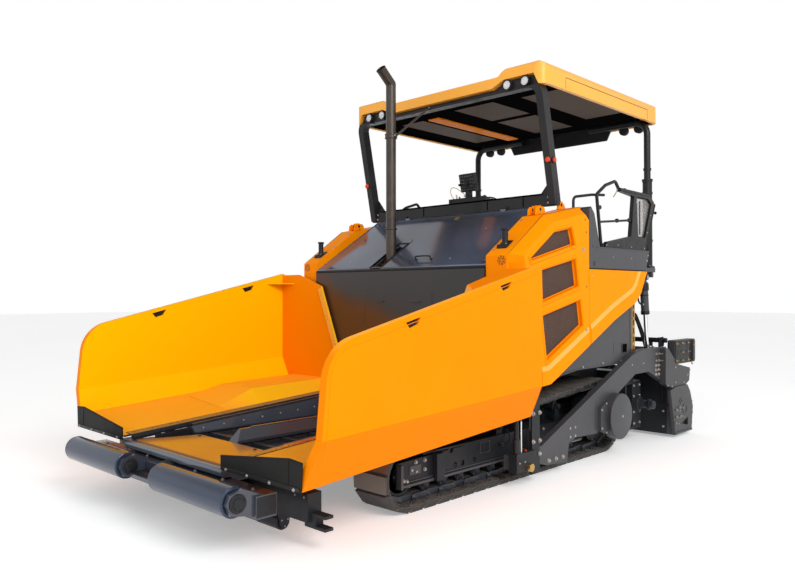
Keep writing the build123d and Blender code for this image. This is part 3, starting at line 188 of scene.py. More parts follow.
def bareSteel(name, look):
    # handled or rubbed steel: scratches along one way, stains, bright edges
    material, tree, shader = newMaterial(name)
    stain = ramp(tree, noise(tree, objectCoords(tree), 7.0, 8, 0.7), [(0.35, 0.0), (0.7, 1.0)])
    tone = mixColors(tree, stain, look["color"], look["tone"])
    if "top" in look:
        # pads that face up or forward get a paler brown-grey: painted highlight where light falls
        facing = addNode(tree, "ShaderNodeSeparateXYZ", {0: worldNormal(tree)})
        litFacing = maths(tree, "MULTIPLY_ADD", facing.outputs["Y"], -0.8, facing.outputs["Z"])
        share = times(tree, ramp(tree, litFacing, [(0.35, 0.0), (0.75, 0.85)]),
            ramp(tree, stain, [(0.0, 0.75), (1.0, 1.0)]))
        tone = mixColors(tree, share, tone, look["top"])
    normal = roundedNormal(tree, 0.003)
    tone = mixColors(tree, times(tree, edgeMask(tree, normal), look["wear"]), tone,
        look["wearColor"])
    tree.links.new(tone, shader.inputs["Base Color"])
    shader.inputs["Metallic"].default_value = look["metallic"]
    rough = look["rough"]
    spread = mixColors(tree, stain, (rough * 0.8,) * 3, (min(1.0, rough * 1.4),) * 3)
    tree.links.new(spread, shader.inputs["Roughness"])
    streaks = noise(tree, objectCoords(tree, look.get("streak", (60, 60, 60))), 3.0, 6)
    tree.links.new(bump(tree, streaks, look.get("relief", 0.25), 0.0015, normal),
        shader.inputs["Normal"])
    return material


def mouldedBlack(name, look):
    # rubber, plastic, vinyl: a fine grain and slight bloom
    material, tree, shader = newMaterial(name)
    coords = objectCoords(tree)
    bloom = ramp(tree, noise(tree, coords, 5.0, 6, 0.65), [(0.4, 0.0), (0.75, 1.0)])
    tree.links.new(mixColors(tree, bloom, look["color"], look["tone"]), shader.inputs["Base Color"])
    rough = look["rough"]
    spread = mixColors(tree, bloom, (rough,) * 3, (min(1.0, rough * 1.25),) * 3)
    tree.links.new(spread, shader.inputs["Roughness"])
    shader.inputs["Specular IOR Level"].default_value = 0.3
    grain = addNode(tree, "ShaderNodeTexVoronoi", {"Vector": coords,
        "Scale": look.get("grain", 420.0)})
    normal = bump(tree, grain.outputs["Distance"], look.get("relief", 0.2), 0.0008,
        roundedNormal(tree, 0.004))
    tree.links.new(normal, shader.inputs["Normal"])
    return material


def clearGlass(name, look):
    material, tree, shader = newMaterial(name)
    smear = noise(tree, objectCoords(tree), 4.0, 5)
    spread = ramp(tree, smear, [(0.4, look["rough"]), (0.8, look["rough"] + 0.06)])
    tone = mixColors(tree, ramp(tree, smear, [(0.3, 0.0), (0.8, 1.0)]), look["color"], look["tone"])
    tree.links.new(spread, shader.inputs["Roughness"])
    tree.links.new(tone, shader.inputs["Base Color"])
    shader.inputs["Transmission Weight"].default_value = look["clear"]
    shader.inputs["IOR"].default_value = 1.3
    shader.inputs["Alpha"].default_value = look.get("alpha", 1.0)
    return material


# Each finish: its slot in the part's list, two tones of its colour and how it ages.

# on some finishes, inner, under, upper, low and top are painted light and shade
coatDetail = {"dust": 0.05, "dustColor": (0.13, 0.12, 0.12), "wear": 0.2,
    "wearColor": (0.12, 0.12, 0.13)}
coats = {
    # under: a darker orange on faces that look down, painted shade
    "machinePaint": {
        "slot": "orange_paint", "color": (0.94, 0.27, 0.0), "tone": (0.92, 0.248, 0.0),
        "under": (0.82, 0.205, 0.0), "rough": 0.34, "coat": 0.02, "gloss": 0.02,
        "dust": 0.03, "dustColor": (0.75, 0.4, 0.12), "wear": 0.1, "wearColor": (0.9, 0.46, 0.12)},
    # inner: painted light on faces turned in; under: painted shade; upper: painted highlight
    "hopperPaint": {
        "slot": "orange_paint", "color": (0.92, 0.252, 0.0), "tone": (0.9, 0.234, 0.0),
        "inner": (1.0, 0.52, 0.0), "under": (0.8, 0.2, 0.0), "upper": (1.0, 0.4, 0.02),
        "near": (0.02, 0.022, 0.028), "nearLimit": 0.738,
        "rough": 0.38, "coat": 0.02, "gloss": 0.02, "dust": 0.03, "dustColor": (0.72, 0.38, 0.12),
        "wear": 0.12, "wearColor": (0.8, 0.4, 0.1)},
    # a paler copy of the orange: painted highlight, on the canopy and on slopes and strips
    "roofPaint": {
        "slot": "orange_paint", "color": (0.86, 0.4, 0.055), "tone": (0.84, 0.37, 0.045),
        "rough": 0.32, "coat": 0.12, "gloss": 0.2,
        "dust": 0.06, "dustColor": (0.8, 0.5, 0.22), "wear": 0.05, "wearColor": (0.9, 0.52, 0.2)},
    "apronPaint": {
        "slot": "orange_paint", "color": (0.5, 0.2, 0.04), "tone": (0.44, 0.17, 0.036),
        "rough": 0.2, "coat": 0.3, "gloss": 0.3, "patch": 0.05,
        "dust": 0.0, "wearColor": (0.5, 0.28, 0.12), "peel": 0.02},
    "armPaint": {
        "slot": "grey_paint", "color": (0.047, 0.048, 0.053), "tone": (0.056, 0.056, 0.061),
        "rough": 0.42, "coat": 0.06, "gloss": 0.3, "patch": 0.12,
        "dust": 0.08, "dustColor": (0.13, 0.115, 0.1), "wear": 0.3, "wearColor": (0.2, 0.18, 0.17)},
    "screedPaint": {
        "slot": "dark_frame", "color": (0.008, 0.009, 0.011), "tone": (0.012, 0.013, 0.015),
        "rough": 0.4, "coat": 0.05, "gloss": 0.25, "patch": 0.15,
        "outer": (0.045, 0.044, 0.047), "outerLimit": 1.405,
        "dust": 0.1, "dustColor": (0.07, 0.062, 0.058),
        "wear": 0.4, "wearColor": (0.16, 0.15, 0.14)},
    "framePaint": {
        "slot": "dark_frame", "color": (0.011, 0.0125, 0.016), "tone": (0.016, 0.0175, 0.021),
        "rough": 0.42, "coat": 0.05, "gloss": 0.2,
        "dust": 0.12, "dustColor": (0.07, 0.062, 0.058),
        "wear": 0.4, "wearColor": (0.14, 0.12, 0.11)},
    # low: a painted warm reflection of the orange hopper, low on the wall
    "wallPaint": {
        "slot": "blue_black_paint", "color": (0.034, 0.034, 0.038), "tone": (0.04, 0.038, 0.04),
        "rough": 0.3, "coat": 0.1, "gloss": 0.25, "patch": 0.1,
        "low": (0.09, 0.034, 0.014), "lowLimit": 1.8, "dust": 0.03, "peel": 0.05},
    "hoodPaint": {
        "slot": "blue_black_paint", "color": (0.095, 0.106, 0.142), "tone": (0.22, 0.265, 0.4),
        "rough": 0.16, "coat": 0.5, "gloss": 0.5, "patch": 0.08,
        "metallic": 0.6, "toneScale": 0.6, "dust": 0.02, "peel": 0.03},
    "glossPaint": {
        "slot": "blue_black_paint", "color": (0.036, 0.042, 0.06), "tone": (0.042, 0.048, 0.066),
        "rough": 0.18, "coat": 0.4, "gloss": 0.4, "patch": 0.1},
    "rollerPaint": {
        "slot": "blue_black_paint", "color": (0.034, 0.048, 0.084), "tone": (0.038, 0.052, 0.088),
        "rough": 0.22, "coat": 0.25, "gloss": 0.3, "metallic": 0.5, "patch": 0.06, "peel": 0.02,
        "dust": 0.04, "dustColor": (0.13, 0.13, 0.14),
        "wear": 0.3, "wearColor": (0.26, 0.26, 0.28)},
    "lipPaint": {
        "slot": "blue_black_paint", "color": (0.11, 0.13, 0.17), "tone": (0.125, 0.145, 0.18),
        "rough": 0.2, "coat": 0.3, "gloss": 0.4, "metallic": 0.3, "patch": 0.08, "peel": 0.02,
        "dustColor": (0.13, 0.13, 0.14), "wear": 0.3, "wearColor": (0.26, 0.26, 0.28)},
    "blackPaint": {
        "slot": "black_paint", "color": (0.011, 0.011, 0.012), "tone": (0.018, 0.017, 0.018),
        "rough": 0.4, "coat": 0.1, "gloss": 0.22,
        "dust": 0.12, "dustColor": (0.07, 0.065, 0.06),
        "wear": 0.25, "wearColor": (0.09, 0.09, 0.09)},
    "liningBlack": {
        "slot": "black_paint", "color": (0.003, 0.003, 0.0032), "tone": (0.005, 0.0046, 0.0044),
        "rough": 0.7, "gloss": 0.0, "patch": 0.05, "dust": 0.0, "wear": 0.0, "peel": 0.02},
    "panelPaint": {
        "slot": "black_paint", "color": (0.07, 0.044, 0.028), "tone": (0.084, 0.054, 0.036),
        "rough": 0.45, "gloss": 0.03, "patch": 0.05, "peel": 0.02,
        "dust": 0.0, "wear": 0.1, "wearColor": (0.2, 0.17, 0.14)},
    "meshPaint": {
        "slot": "grille_brown", "color": (0.105, 0.066, 0.05), "tone": (0.13, 0.082, 0.06),
        "rough": 0.5, "dust": 0.3, "dustColor": (0.16, 0.11, 0.09), "wearColor": (0.2, 0.16, 0.13)},
}
metals = {
    # top: a painted highlight on pads that face up or forward
    "trackSteel": {
        "slot": "worn_steel", "color": (0.026, 0.029, 0.035), "tone": (0.06, 0.05, 0.043),
        "metallic": 0.4, "rough": 0.5, "top": (0.27, 0.24, 0.21),
        "wear": 0.6, "wearColor": (0.46, 0.43, 0.4), "relief": 0.4},
    "conveyorSteel": {
        "slot": "worn_steel", "color": (0.044, 0.05, 0.064), "tone": (0.085, 0.088, 0.098),
        "metallic": 0.6, "rough": 0.36, "wear": 0.4, "wearColor": (0.3, 0.29, 0.28)},
    "zincSteel": {
        "slot": "worn_steel", "color": (0.42, 0.39, 0.36), "tone": (0.3, 0.27, 0.24),
        "metallic": 0.75, "rough": 0.35, "relief": 0.1,
        "wear": 0.3, "wearColor": (0.75, 0.72, 0.68)},
    "brass": {
        "slot": "worn_steel", "color": (0.52, 0.34, 0.12), "tone": (0.38, 0.23, 0.08),
        "metallic": 0.9, "rough": 0.3, "wear": 0.3, "wearColor": (0.8, 0.62, 0.32), "relief": 0.1},
    "chrome": {
        "slot": "rod_chrome", "color": (0.74, 0.74, 0.75), "tone": (0.66, 0.66, 0.68),
        "metallic": 1.0, "rough": 0.12, "wear": 0.0, "wearColor": (0.8, 0.8, 0.8), "relief": 0.03},
    "exhaustSteel": {
        "slot": "exhaust_steel", "color": (0.04, 0.034, 0.03), "tone": (0.085, 0.066, 0.052),
        "metallic": 0.6, "rough": 0.4, "streak": (40, 40, 4),
        "wear": 0.2, "wearColor": (0.2, 0.17, 0.15)},
    "engineIron": {
        "slot": "engine_iron", "color": (0.05, 0.05, 0.05), "tone": (0.09, 0.08, 0.07),
        "metallic": 0.4, "rough": 0.6, "wear": 0.2, "wearColor": (0.3, 0.3, 0.3)},
}
mouldings = {
    "rubber": {
        "slot": "flap_rubber", "color": (0.005, 0.0048, 0.0046), "tone": (0.011, 0.01, 0.009),
        "rough": 0.62},
    "blackPlastic": {
        "slot": "console_plastic", "color": (0.01, 0.01, 0.011), "tone": (0.018, 0.018, 0.019),
        "rough": 0.45, "grain": 600},
    "seatVinyl": {
        "slot": "seat_black", "color": (0.013, 0.013, 0.014), "tone": (0.022, 0.022, 0.023),
        "rough": 0.55, "grain": 300, "relief": 0.35},
    "redPlastic": {
        "slot": "lamp_lens", "color": (0.75, 0.05, 0.008), "tone": (0.6, 0.035, 0.006),
        "rough": 0.28, "grain": 300, "relief": 0.1},
    "greyPlastic": {
        "slot": "console_plastic", "color": (0.3, 0.3, 0.3), "tone": (0.38, 0.38, 0.38),
        "rough": 0.4, "grain": 500, "relief": 0.1},
    "screenGlass": {
        "slot": "console_plastic", "color": (0.006, 0.007, 0.009), "tone": (0.01, 0.011, 0.013),
        "rough": 0.08, "grain": 300, "relief": 0.02},
}
panes = {
    "lampGlass": {
        "slot": "lamp_lens", "color": (0.93, 0.94, 0.96), "tone": (0.86, 0.87, 0.9),
        "rough": 0.1, "clear": 0.1},
    "windowGlass": {
        "slot": "clear_glass", "color": (0.3, 0.29, 0.28), "tone": (0.16, 0.13, 0.11),
        "rough": 0.03, "clear": 0.4, "alpha": 0.55},
}

finishes, slotOf = {}, {}
for makeFinish, looks in ((paintedMetal, coats), (bareSteel, metals), (mouldedBlack, mouldings),
        (clearGlass, panes)):
    for name, look in looks.items():
        finishes[name] = makeFinish(name, {**coatDetail, **look})
        slotOf[name] = look["slot"]

finishOfNode = {
    "machinePaint": "side_pod_left side_pod_right service_door_left service_door_right side_tails",
    "roofPaint": "canopy_roof",
    "hopperPaint": "hopper_wing_left hopper_wing_right",
    "apronPaint": "front_apron",
    "armPaint": "tow_arms lower_panels platform_deck lift_barrels",
    "framePaint": "main_frame track_frame_left track_frame_right rear_housing auger_support "
                  "wing_barrel_left wing_barrel_right track_wheels_left track_wheels_right "
                  "tow_slides",
    "hoodPaint": "hood",
    "wallPaint": "hopper_rear_wall",
    "screedPaint": "screed",
    "glossPaint": "chain_guards push_beam",
    "lipPaint": "front_lip",
    "rollerPaint": "push_roller_left push_roller_right",
    "blackPaint": "front_portal canopy_frame post_sockets leveling_barrels handrails "
                  "side_stations console",
    "meshPaint": "door_grilles_left door_grilles_right",
    "trackSteel": "track_left track_right",
    "conveyorSteel": "conveyor_deck conveyors auger_left auger_right",
    "chrome": "lift_rods wing_rod_left wing_rod_right",
    "exhaustSteel": "exhaust",
    "engineIron": "engine",
    "rubber": "wing_flap_left wing_flap_right",
    "seatVinyl": "seats",
    "blackPlastic": "lamps",
    "windowGlass": "station_windows",
}
for finish, names in finishOfNode.items():
    for name in names.split():
        nodes[name].data.materials.clear()
        nodes[name].data.materials.append(finishes[finish])
print("finishes given to the packed nodes")


# Mesh helpers: each adds one closed form to a bmesh, in metres.

def newForms(count):
    return [bmesh.new() for _ in range(count)]


def mm(*values):
    # a turned form's profile in millimetres: along, radius, along, radius and so on
    return [(along / 1000, radius / 1000) for along, radius in zip(values[::2], values[1::2])]


def around(turn):
    return Vector((math.cos(turn), math.sin(turn)))


def circle(count, radius, first=0.0):
    # places spread evenly around a ring, from a first turn
    return [around(2 * math.pi * i / count + first) * radius for i in range(count)]


def leftOf(way):
    return Vector((-way.y, way.x))


def rectangle(across, up):
    return [(across[0], up[0]), (across[1], up[0]), (across[1], up[1]), (across[0], up[1])]


def span(middle, reach):
    return middle - reach, middle + reach


def addLathe(bm, place, direction, profile, sides=24):
    # a turned form: (distance along the direction, radius) from one end to the other
    aim = Vector(direction).to_track_quat("Z", "Y").to_matrix()
    rings = []
    for along, radius in profile:
        spots = circle(sides if radius > 0 else 1, radius)
        rings.append([bm.verts.new(Vector(place) + aim @ Vector((*spot, along))) for spot in spots])
    hollow = profile[0] == profile[-1]
    if hollow:
        # the profile comes back to its start, so the form is a ring with no end faces
        bmesh.ops.delete(bm, geom=rings.pop(), context="VERTS")
        rings.append(rings[0])
    for low, high in zip(rings, rings[1:]):
        for i in range(sides):
            j = (i + 1) % sides
            corners = [low[i % len(low)], low[j % len(low)], high[j % len(high)],
                high[i % len(high)]]
            corners = list(dict.fromkeys(corners))  # a point at one end gives triangles
            if len(corners) > 2:
                bm.faces.new(corners)
    for ring in (rings[0], rings[-1]):
        if len(ring) > 2 and not hollow:
            bm.faces.new(ring)


def addDisc(bm, place, direction, radius, height, sides):
    addLathe(bm, place, direction, [(0, radius), (height, radius)], sides)


def addStud(bm, place, direction, radius, height, sides=12):
    # a low round head with a chamfered rim
    addLathe(bm, place, direction, [(0, radius), (height - 0.001, radius - 0.001), (height, 0)],
        sides)


def addPlate(bm, points, push):
    low = [bm.verts.new(point) for point in points]
    high = [bm.verts.new(Vector(point) + Vector(push)) for point in points]
    bm.faces.new(low)
    bm.faces.new(high)
    for i in range(len(points)):
        j = (i + 1) % len(points)
        bm.faces.new((low[i], low[j], high[j], high[i]))


def sidePlate(bm, outline, xLow, xHigh):
    addPlate(bm, [(xLow, y, z) for y, z in outline], (xHigh - xLow, 0, 0))


def frontPlate(bm, outline, yLow, yHigh):
    addPlate(bm, [(x, yLow, z) for x, z in outline], (0, yHigh - yLow, 0))


def topPlate(bm, outline, zLow, zHigh):
    addPlate(bm, [(x, y, zLow) for x, y in outline], (0, 0, zHigh - zLow))


def addBlock(bm, x, y, z):
    topPlate(bm, rectangle(x, y), *z)


def addBolt(bm, place, direction, size):
    # flange washer and a hexagon head with a chamfer; size is the head's radius
    addLathe(bm, place, direction, [(0, size * 1.3), (size * 0.2, size * 1.25)], 16)
    head = Vector(place) + Vector(direction).normalized() * size * 0.2
    addLathe(bm, head, direction, [(0, size), (size * 0.62, size), (size * 0.78, size * 0.82)], 6)


def addWasherBolt(bm, place, washer, thick, size):
    # a bolt on a round washer, which is let into the sheet by a millimetre
    x, y, z = place
    addDisc(bm, (x - 0.001, y, z), toSide, washer, 0.003, 24)
    addBolt(bm, (x + thick, y, z), toSide, size)


def addTread(bm, x, y, rising, length, width, z):
    # one diamond of a chequered plate
    along = around(math.radians(45 if rising else -45)) * length / 2
    side = leftOf(along) * width / length
    spot = Vector((x, y))
    topPlate(bm, [spot + corner for corner in (-along, -side, along, side)], *z)


def addFrame(bm, outline, inset, xLow, xHigh):
    # a flat band that follows an outline in (y, z), between two values of x
    middle = Vector([sum(part) / len(outline) for part in zip(*outline)])
    outer = [Vector(point) for point in outline]
    inner = [insetCorner(outer[i - 1], outer[i], outer[(i + 1) % len(outer)], inset, middle)
        for i in range(len(outer))]
    rings = [[bm.verts.new((x, *point)) for point in line]
        for x, line in ((xLow, outer), (xHigh, outer), (xHigh, inner), (xLow, inner))]
    for k in range(4):
        low, high = rings[k], rings[(k + 1) % 4]
        for i in range(len(outer)):
            j = (i + 1) % len(outer)
            bm.faces.new((low[i], low[j], high[j], high[i]))


def insetCorner(before, corner, after, inset, middle):
    one, two = (corner - before).normalized(), (after - corner).normalized()
    sides = [leftOf(way) for way in (one, two)]
    sides = [side if side.dot(middle - corner) > 0 else -side for side in sides]
    across = (sides[0] + sides[1]).normalized()
    return corner + across * inset / max(0.3, across.dot(sides[0]))


def makePiece(name, bm, body, finish, sides="one", bevel=0.0):
    # sides: "one" as built, "both" adds the mirrored half, "pair" makes a left and a right piece
    bmesh.ops.recalc_face_normals(bm, faces=bm.faces)
    if sides == "pair":
        other = bm.copy()
        mirrorMesh(other)
        return [placeMesh(name + "_left", bm, body + "_left", finish, bevel),
            placeMesh(name + "_right", other, body + "_right", finish, bevel)]
    if sides == "both":
        found = bmesh.ops.duplicate(bm, geom=bm.faces[:] + bm.edges[:] + bm.verts[:])["geom"]
        mirrorMesh(bm, [item for item in found if isinstance(item, bmesh.types.BMVert)],
            [item for item in found if isinstance(item, bmesh.types.BMFace)])
    return placeMesh(name, bm, body, finish, bevel)


def makePieces(body, sides, *pieces):
    for name, bm, finish, *bevel in pieces:
        makePiece(name, bm, body, finish, sides, *bevel)


def mirrorMesh(bm, verts=None, faces=None):
    for vert in (bm.verts if verts is None else verts):
        vert.co.x = -vert.co.x
    bmesh.ops.reverse_faces(bm, faces=bm.faces[:] if faces is None else faces)


def newObject(name, data):
    item = bpy.data.objects.new(name, data)
    bpy.context.collection.objects.link(item)
    return item


def placeMesh(name, bm, body, finish, bevel):
    mesh = bpy.data.meshes.new(name)
    bm.to_mesh(mesh)
    bm.free()
    mesh.shade_smooth()
    mesh.set_sharp_from_angle(angle=math.radians(32))
    piece = newObject(name, mesh)
    mesh.materials.append(finishes[finish])
    if bevel:
        modifier = piece.modifiers.new("edges", "BEVEL")
        modifier.width = bevel
        modifier.segments = 2
        modifier.limit_method = "ANGLE"
        modifier.angle_limit = math.radians(40)
    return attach(piece, body)


def makeTube(name, points, radius, body, finish, soft=True):
    # a pipe or hose: soft ones follow a smooth curve, stiff ones bend at the points
    curve = bpy.data.curves.new(name, "CURVE")
    curve.dimensions = "3D"
    curve.bevel_depth = radius
    curve.bevel_resolution = 4
    curve.resolution_u = 10 if soft else 4
    curve.use_fill_caps = True
    spline = curve.splines.new("NURBS")
    spline.points.add(len(points) - 1)
    for spot, point in zip(spline.points, points):
        spot.co = (*point, 1)
    spline.order_u = 4 if soft else 3
    spline.use_endpoint_u = True
    curve.materials.append(finishes[finish])
    tube = newObject(name, curve)
    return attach(tube, body)


def bothTubes(name, points, radius, body, finish, soft=True):
    makeTube(name + "_left", points, radius, body, finish, soft)
    makeTube(name + "_right", [(-x, y, z) for x, y, z in points], radius, body, finish, soft)


trackDetail = {"frontWheel": (-1.63, 0.27), "rearWheel": (1.4, 0.39), "center": 1.1,
    "shoeWidth": 0.35, "shoePitch": 0.163, "shoeGap": 0.026, "shoeThickness": 0.045,
    "chainHeight": 0.06, "linkThickness": 0.016, "boltSize": 0.011}


def trackPoint(distance, inset):
    # a place (y, z) along the loop of shoes, so far inside its outer face
    front, frontR = trackDetail["frontWheel"]
    rear, rearR = trackDetail["rearWheel"]
    span = rear - front
    lean = math.atan2(rearR - frontR, span) * 2
    rearArc, frontArc = rearR * (math.pi + lean), frontR * (math.pi - lean)
    distance %= span * 2 + rearArc + frontArc
    if distance <= span:
        return Vector((front + distance, inset))
    if distance <= span + rearArc:
        turn = (distance - span) / rearR - math.pi / 2
        return Vector((rear, rearR)) + around(turn) * (rearR - inset)
    out = around(math.pi / 2 + lean)
    if distance <= span * 2 + rearArc:
        share = (distance - span - rearArc) / span
        start = Vector((rear, rearR)) + out * (rearR - inset)
        end = Vector((front, frontR)) + out * (frontR - inset)
        return start.lerp(end, share)
    turn = math.pi / 2 + lean + (distance - span * 2 - rearArc) / frontR
    return Vector((front, frontR)) + around(turn) * (frontR - inset)


def makeTrack():
    front, frontR = trackDetail["frontWheel"]
    rear, rearR = trackDetail["rearWheel"]
    lean = math.atan2(rearR - frontR, rear - front) * 2
    length = (rear - front) * 2 + rearR * (math.pi + lean) + frontR * (math.pi - lean)
    count = round(length / trackDetail["shoePitch"])
    step = length / count
    middle = trackDetail["center"]
    half = trackDetail["shoeWidth"] / 2
    thick = trackDetail["shoeThickness"]
    inner = thick + trackDetail["chainHeight"]
    shoes, links, bolts = newForms(3)
    for i in range(count):
        gap = trackDetail["shoeGap"] / 2
        start, end = [trackPoint(place, 0) for place in (i * step + gap, (i + 1) * step - gap)]
        low, high = [trackPoint(place, thick) for place in (i * step + gap, (i + 1) * step - gap)]

        def across(share, depth):
            return start.lerp(end, share).lerp(low.lerp(high, share), depth)

        # shoe end walls with chamfered corners, and two low bars along the inner face
        for side in (-1, 1):
            edge = middle + side * half
            outline = [across(0.02, 0.12), across(0.98, 0.12), across(0.98, 0.55), across(0.8, 0.8),
                across(0.2, 0.8), across(0.02, 0.55)]
            sidePlate(shoes, outline, edge - side * 0.002, edge + side * 0.004)
        for share in (0.06, 0.9):
            outline = [across(share, 0.98), across(share + 0.05, 0.98), across(share + 0.05, 1.28),
                across(share, 1.28)]
            for xLow, xHigh in ((middle - half + 0.01, middle - 0.075),
                    (middle + 0.075, middle + half - 0.01)):
                sidePlate(shoes, outline, xLow, xHigh)
        # link plates with rounded ends beside the chain
        pin, nextPin = [trackPoint(place, (thick + inner) / 2)
            for place in (i * step, (i + 1) * step)]
        along = (nextPin - pin).normalized()
        up = leftOf(along)
        for side in (-1, 1):
            near = middle + side * (0.042 + (0.016 if i % 2 else 0.0))
            far = near + side * trackDetail["linkThickness"]
            outline = []
            for center, first in ((pin, 90), (nextPin, -90)):
                for turn in range(0, 181, 36):
                    angle = math.radians(first + turn)
                    way = along * math.cos(angle) + up * math.sin(angle)
                    outline.append(center + way * 0.027)
            sidePlate(links, outline, near, far)
        addLathe(links, (middle - 0.082, *pin), toSide, mm(0, 10, 3, 14, 161, 14, 164, 10), 12)
        # nuts on the shoe's inner face, two on each side of the chain
        for side in (-1, 1):
            for share in (0.33, 0.67):
                place = across(share, 1.0)
                inward = (place - across(share, 0.0)).normalized()
                for reach in (0.094, 0.125):
                    addBolt(bolts, (middle + side * reach, *place), (0, *inward),
                        trackDetail["boltSize"])
    makePieces("machine", "both", ("track_shoe_lips", shoes, "trackSteel"),
        ("track_links", links, "conveyorSteel"), ("track_nuts", bolts, "conveyorSteel"))


wheelDetail = {"rollerCount": 11, "rollerPitch": 0.22, "firstRoller": -1.343, "rollerZ": 0.16,
    "rollerR": 0.048, "idlerR": 0.165, "teeth": 17}


def makeWheels():
    middle = trackDetail["center"]
    rollers, discs, bolts = newForms(3)
    for i in range(wheelDetail["rollerCount"]):
        place = (middle, wheelDetail["firstRoller"] + i * wheelDetail["rollerPitch"],
            wheelDetail["rollerZ"])
        radius = wheelDetail["rollerR"]
        for side in (-1, 1):
            start = (place[0] + side * 0.059, place[1], place[2])
            addLathe(rollers, start, (side, 0, 0), [(0, radius + 0.004), (0.004, radius + 0.01),
                (0.012, radius + 0.01), (0.016, radius - 0.006), (0.022, 0.032), (0.03, 0.03)], 24)
        hub = (middle + 0.082, place[1], place[2])
        addLathe(rollers, hub, toSide, mm(0, 34, 6, 34, 9, 28, 15, 20, 16, 0), 20)
        for turn in (-35, 35):
            y = place[1] + 0.034 * math.sin(math.radians(turn))
            addBolt(bolts, (hub[0], y, 0.182), toSide, 0.0055)
    front, frontR = trackDetail["frontWheel"]
    rear, rearR = trackDetail["rearWheel"]
    radius = wheelDetail["idlerR"]
    for side in (-1, 1):
        addLathe(discs, (middle + side * 0.06, front, frontR), (side, 0, 0),
            [(0, radius - 0.004), (0.006, radius - 0.01), (0.006, radius - 0.028),
            (-0.01, radius - 0.036), (-0.01, 0.078), (0.014, 0.07), (0.026, 0.052), (0.03, 0.0)],
            40)
        addLathe(discs, (middle + side * 0.06, rear, rearR), (side, 0, 0),
            mm(0, 262, 4, 256, 4, 190, 10, 182, 12, 176), 40)
        hub = Vector((rear, rearR))
        for out in circle(wheelDetail["teeth"], 1):
            flank = leftOf(out)
            outline = [hub + out * 0.258 - flank * 0.03, hub + out * 0.284 - flank * 0.016,
                hub + out * 0.284 + flank * 0.016, hub + out * 0.258 + flank * 0.03]
            sidePlate(discs, outline, middle + side * 0.06, middle + side * 0.066)
    for spot in circle(10, 0.13):
        addBolt(bolts, (middle + 0.115, rear + spot.x, rearR + spot.y), toSide, 0.012)
    for spot in circle(6, 0.062):
        addBolt(bolts, (middle + 0.074, front + spot.x, frontR + spot.y), toSide, 0.008)
    # two carrier rollers hold the top run
    for y in (-0.35, 0.62):
        level = 0.54 + (y - front) * 0.0793 - 0.105 - 0.052
        addLathe(rollers, (middle - 0.06, y, level), toSide, mm(0, 40, 4, 49, 116, 49, 120, 40))
        addLathe(rollers, (middle + 0.06, y, level), toSide, mm(0, 26, 45, 24, 50, 16, 51, 0), 16)
        outline = [(y - 0.045, 0.419), (y + 0.045, 0.419), (y + 0.024, level + 0.026),
            (y - 0.024, level + 0.026)]
        for low in (middle + 0.066, middle - 0.08):
            sidePlate(discs, outline, low, low + 0.014)
    makePieces("machine", "both", ("track_roller_rims", rollers, "framePaint"),
        ("track_wheel_faces", discs, "framePaint"), ("track_wheel_bolts", bolts, "zincSteel"))


frameDetail = {"face": 1.215, "boltSize": 0.013, "railDepth": 0.022}


def makeTrackFrames():
    face = frameDetail["face"]
    plates, bolts, openingShades = newForms(3)
    rail = frameDetail["railDepth"]
    addBlock(plates, (face - 0.002, face + rail), (-1.7, 1.0), (0.187, 0.207))
    addBlock(plates, (face - 0.002, face + 0.007), (-1.7, 1.02), (0.215, 0.225))
    # stiffener at the nose, raised pads and a framed cover
    addBlock(plates, (face - 0.002, face + 0.05), (-1.71, -1.685), (0.187, 0.375))
    addBlock(plates, (face - 0.002, face + 0.006), (-1.57, -1.44), (0.268, 0.34))
    addFrame(plates, rectangle((-0.68, -0.54), (0.3, 0.398)), 0.005, face - 0.001, face + 0.007)
    for y in (0.05, 0.85):
        addBlock(plates, (face - 0.002, face + 0.02), (y, y + 0.02), (0.207, 0.418))
    spots = [(-1.495, 0.361), (-1.388, 0.361), (-1.388, 0.288), (-1.545, 0.307), (-1.492, 0.287),
        (-1.635, 0.236), (-1.597, 0.226), (0.2, 0.38), (0.32, 0.38), (0.2, 0.27), (0.32, 0.27),
        (0.62, 0.38), (0.72, 0.38)]
    for y, z in spots:
        addBolt(bolts, (face, y, z), toSide, frameDetail["boltSize"])
    # dark discs 19 mm behind the face, in the frame's holes: painted shade
    for y, z in ((-1.06, 0.39), (-0.86, 0.39), (-0.755, 0.39), (-1.01, 0.26), (-0.91, 0.26),
            (-0.755, 0.26)):
        addLathe(openingShades, (face - 0.019, y, z), toSide, mm(0, 0, 0, 23.5, 3, 23.5, 3.2, 0))
    # grease fittings in the recess behind the guide plate
    addLathe(bolts, (face, -0.35, 0.33), toSide, mm(0, 12, 10, 12, 12, 6, 24, 5, 28, 0), 12)
    makePieces("machine", "both", ("track_frame_plates", plates, "armPaint", 0.0015),
        ("track_frame_bolts", bolts, "zincSteel"), ("track_frame_liners", openingShades, "blackPaint"))
    hose = [(1.232, -0.42, 0.345), (1.245, -0.4, 0.34), (1.26, -0.34, 0.33), (1.255, -0.28, 0.37),
        (1.24, -0.27, 0.42), (1.225, -0.3, 0.46)]
    bothTubes("track_grease_hose", hose, 0.007, "machine", "rubber")


makeTrack()
makeWheels()
makeTrackFrames()
print("tracks dressed")


def wingFloor(x, y):
    # height of a wing's floor
    return 0.512 + (y + 2.95) * 0.069 + 0.085 * max(0.0, x - 0.724) / 0.876


def wingTop(y):
    return 1.42 + (y + 2.635) * 0.238


wingDetail = {"stripWidth": 0.093, "stripCount": 5, "stripGap": 0.006, "stripLift": 0.007}


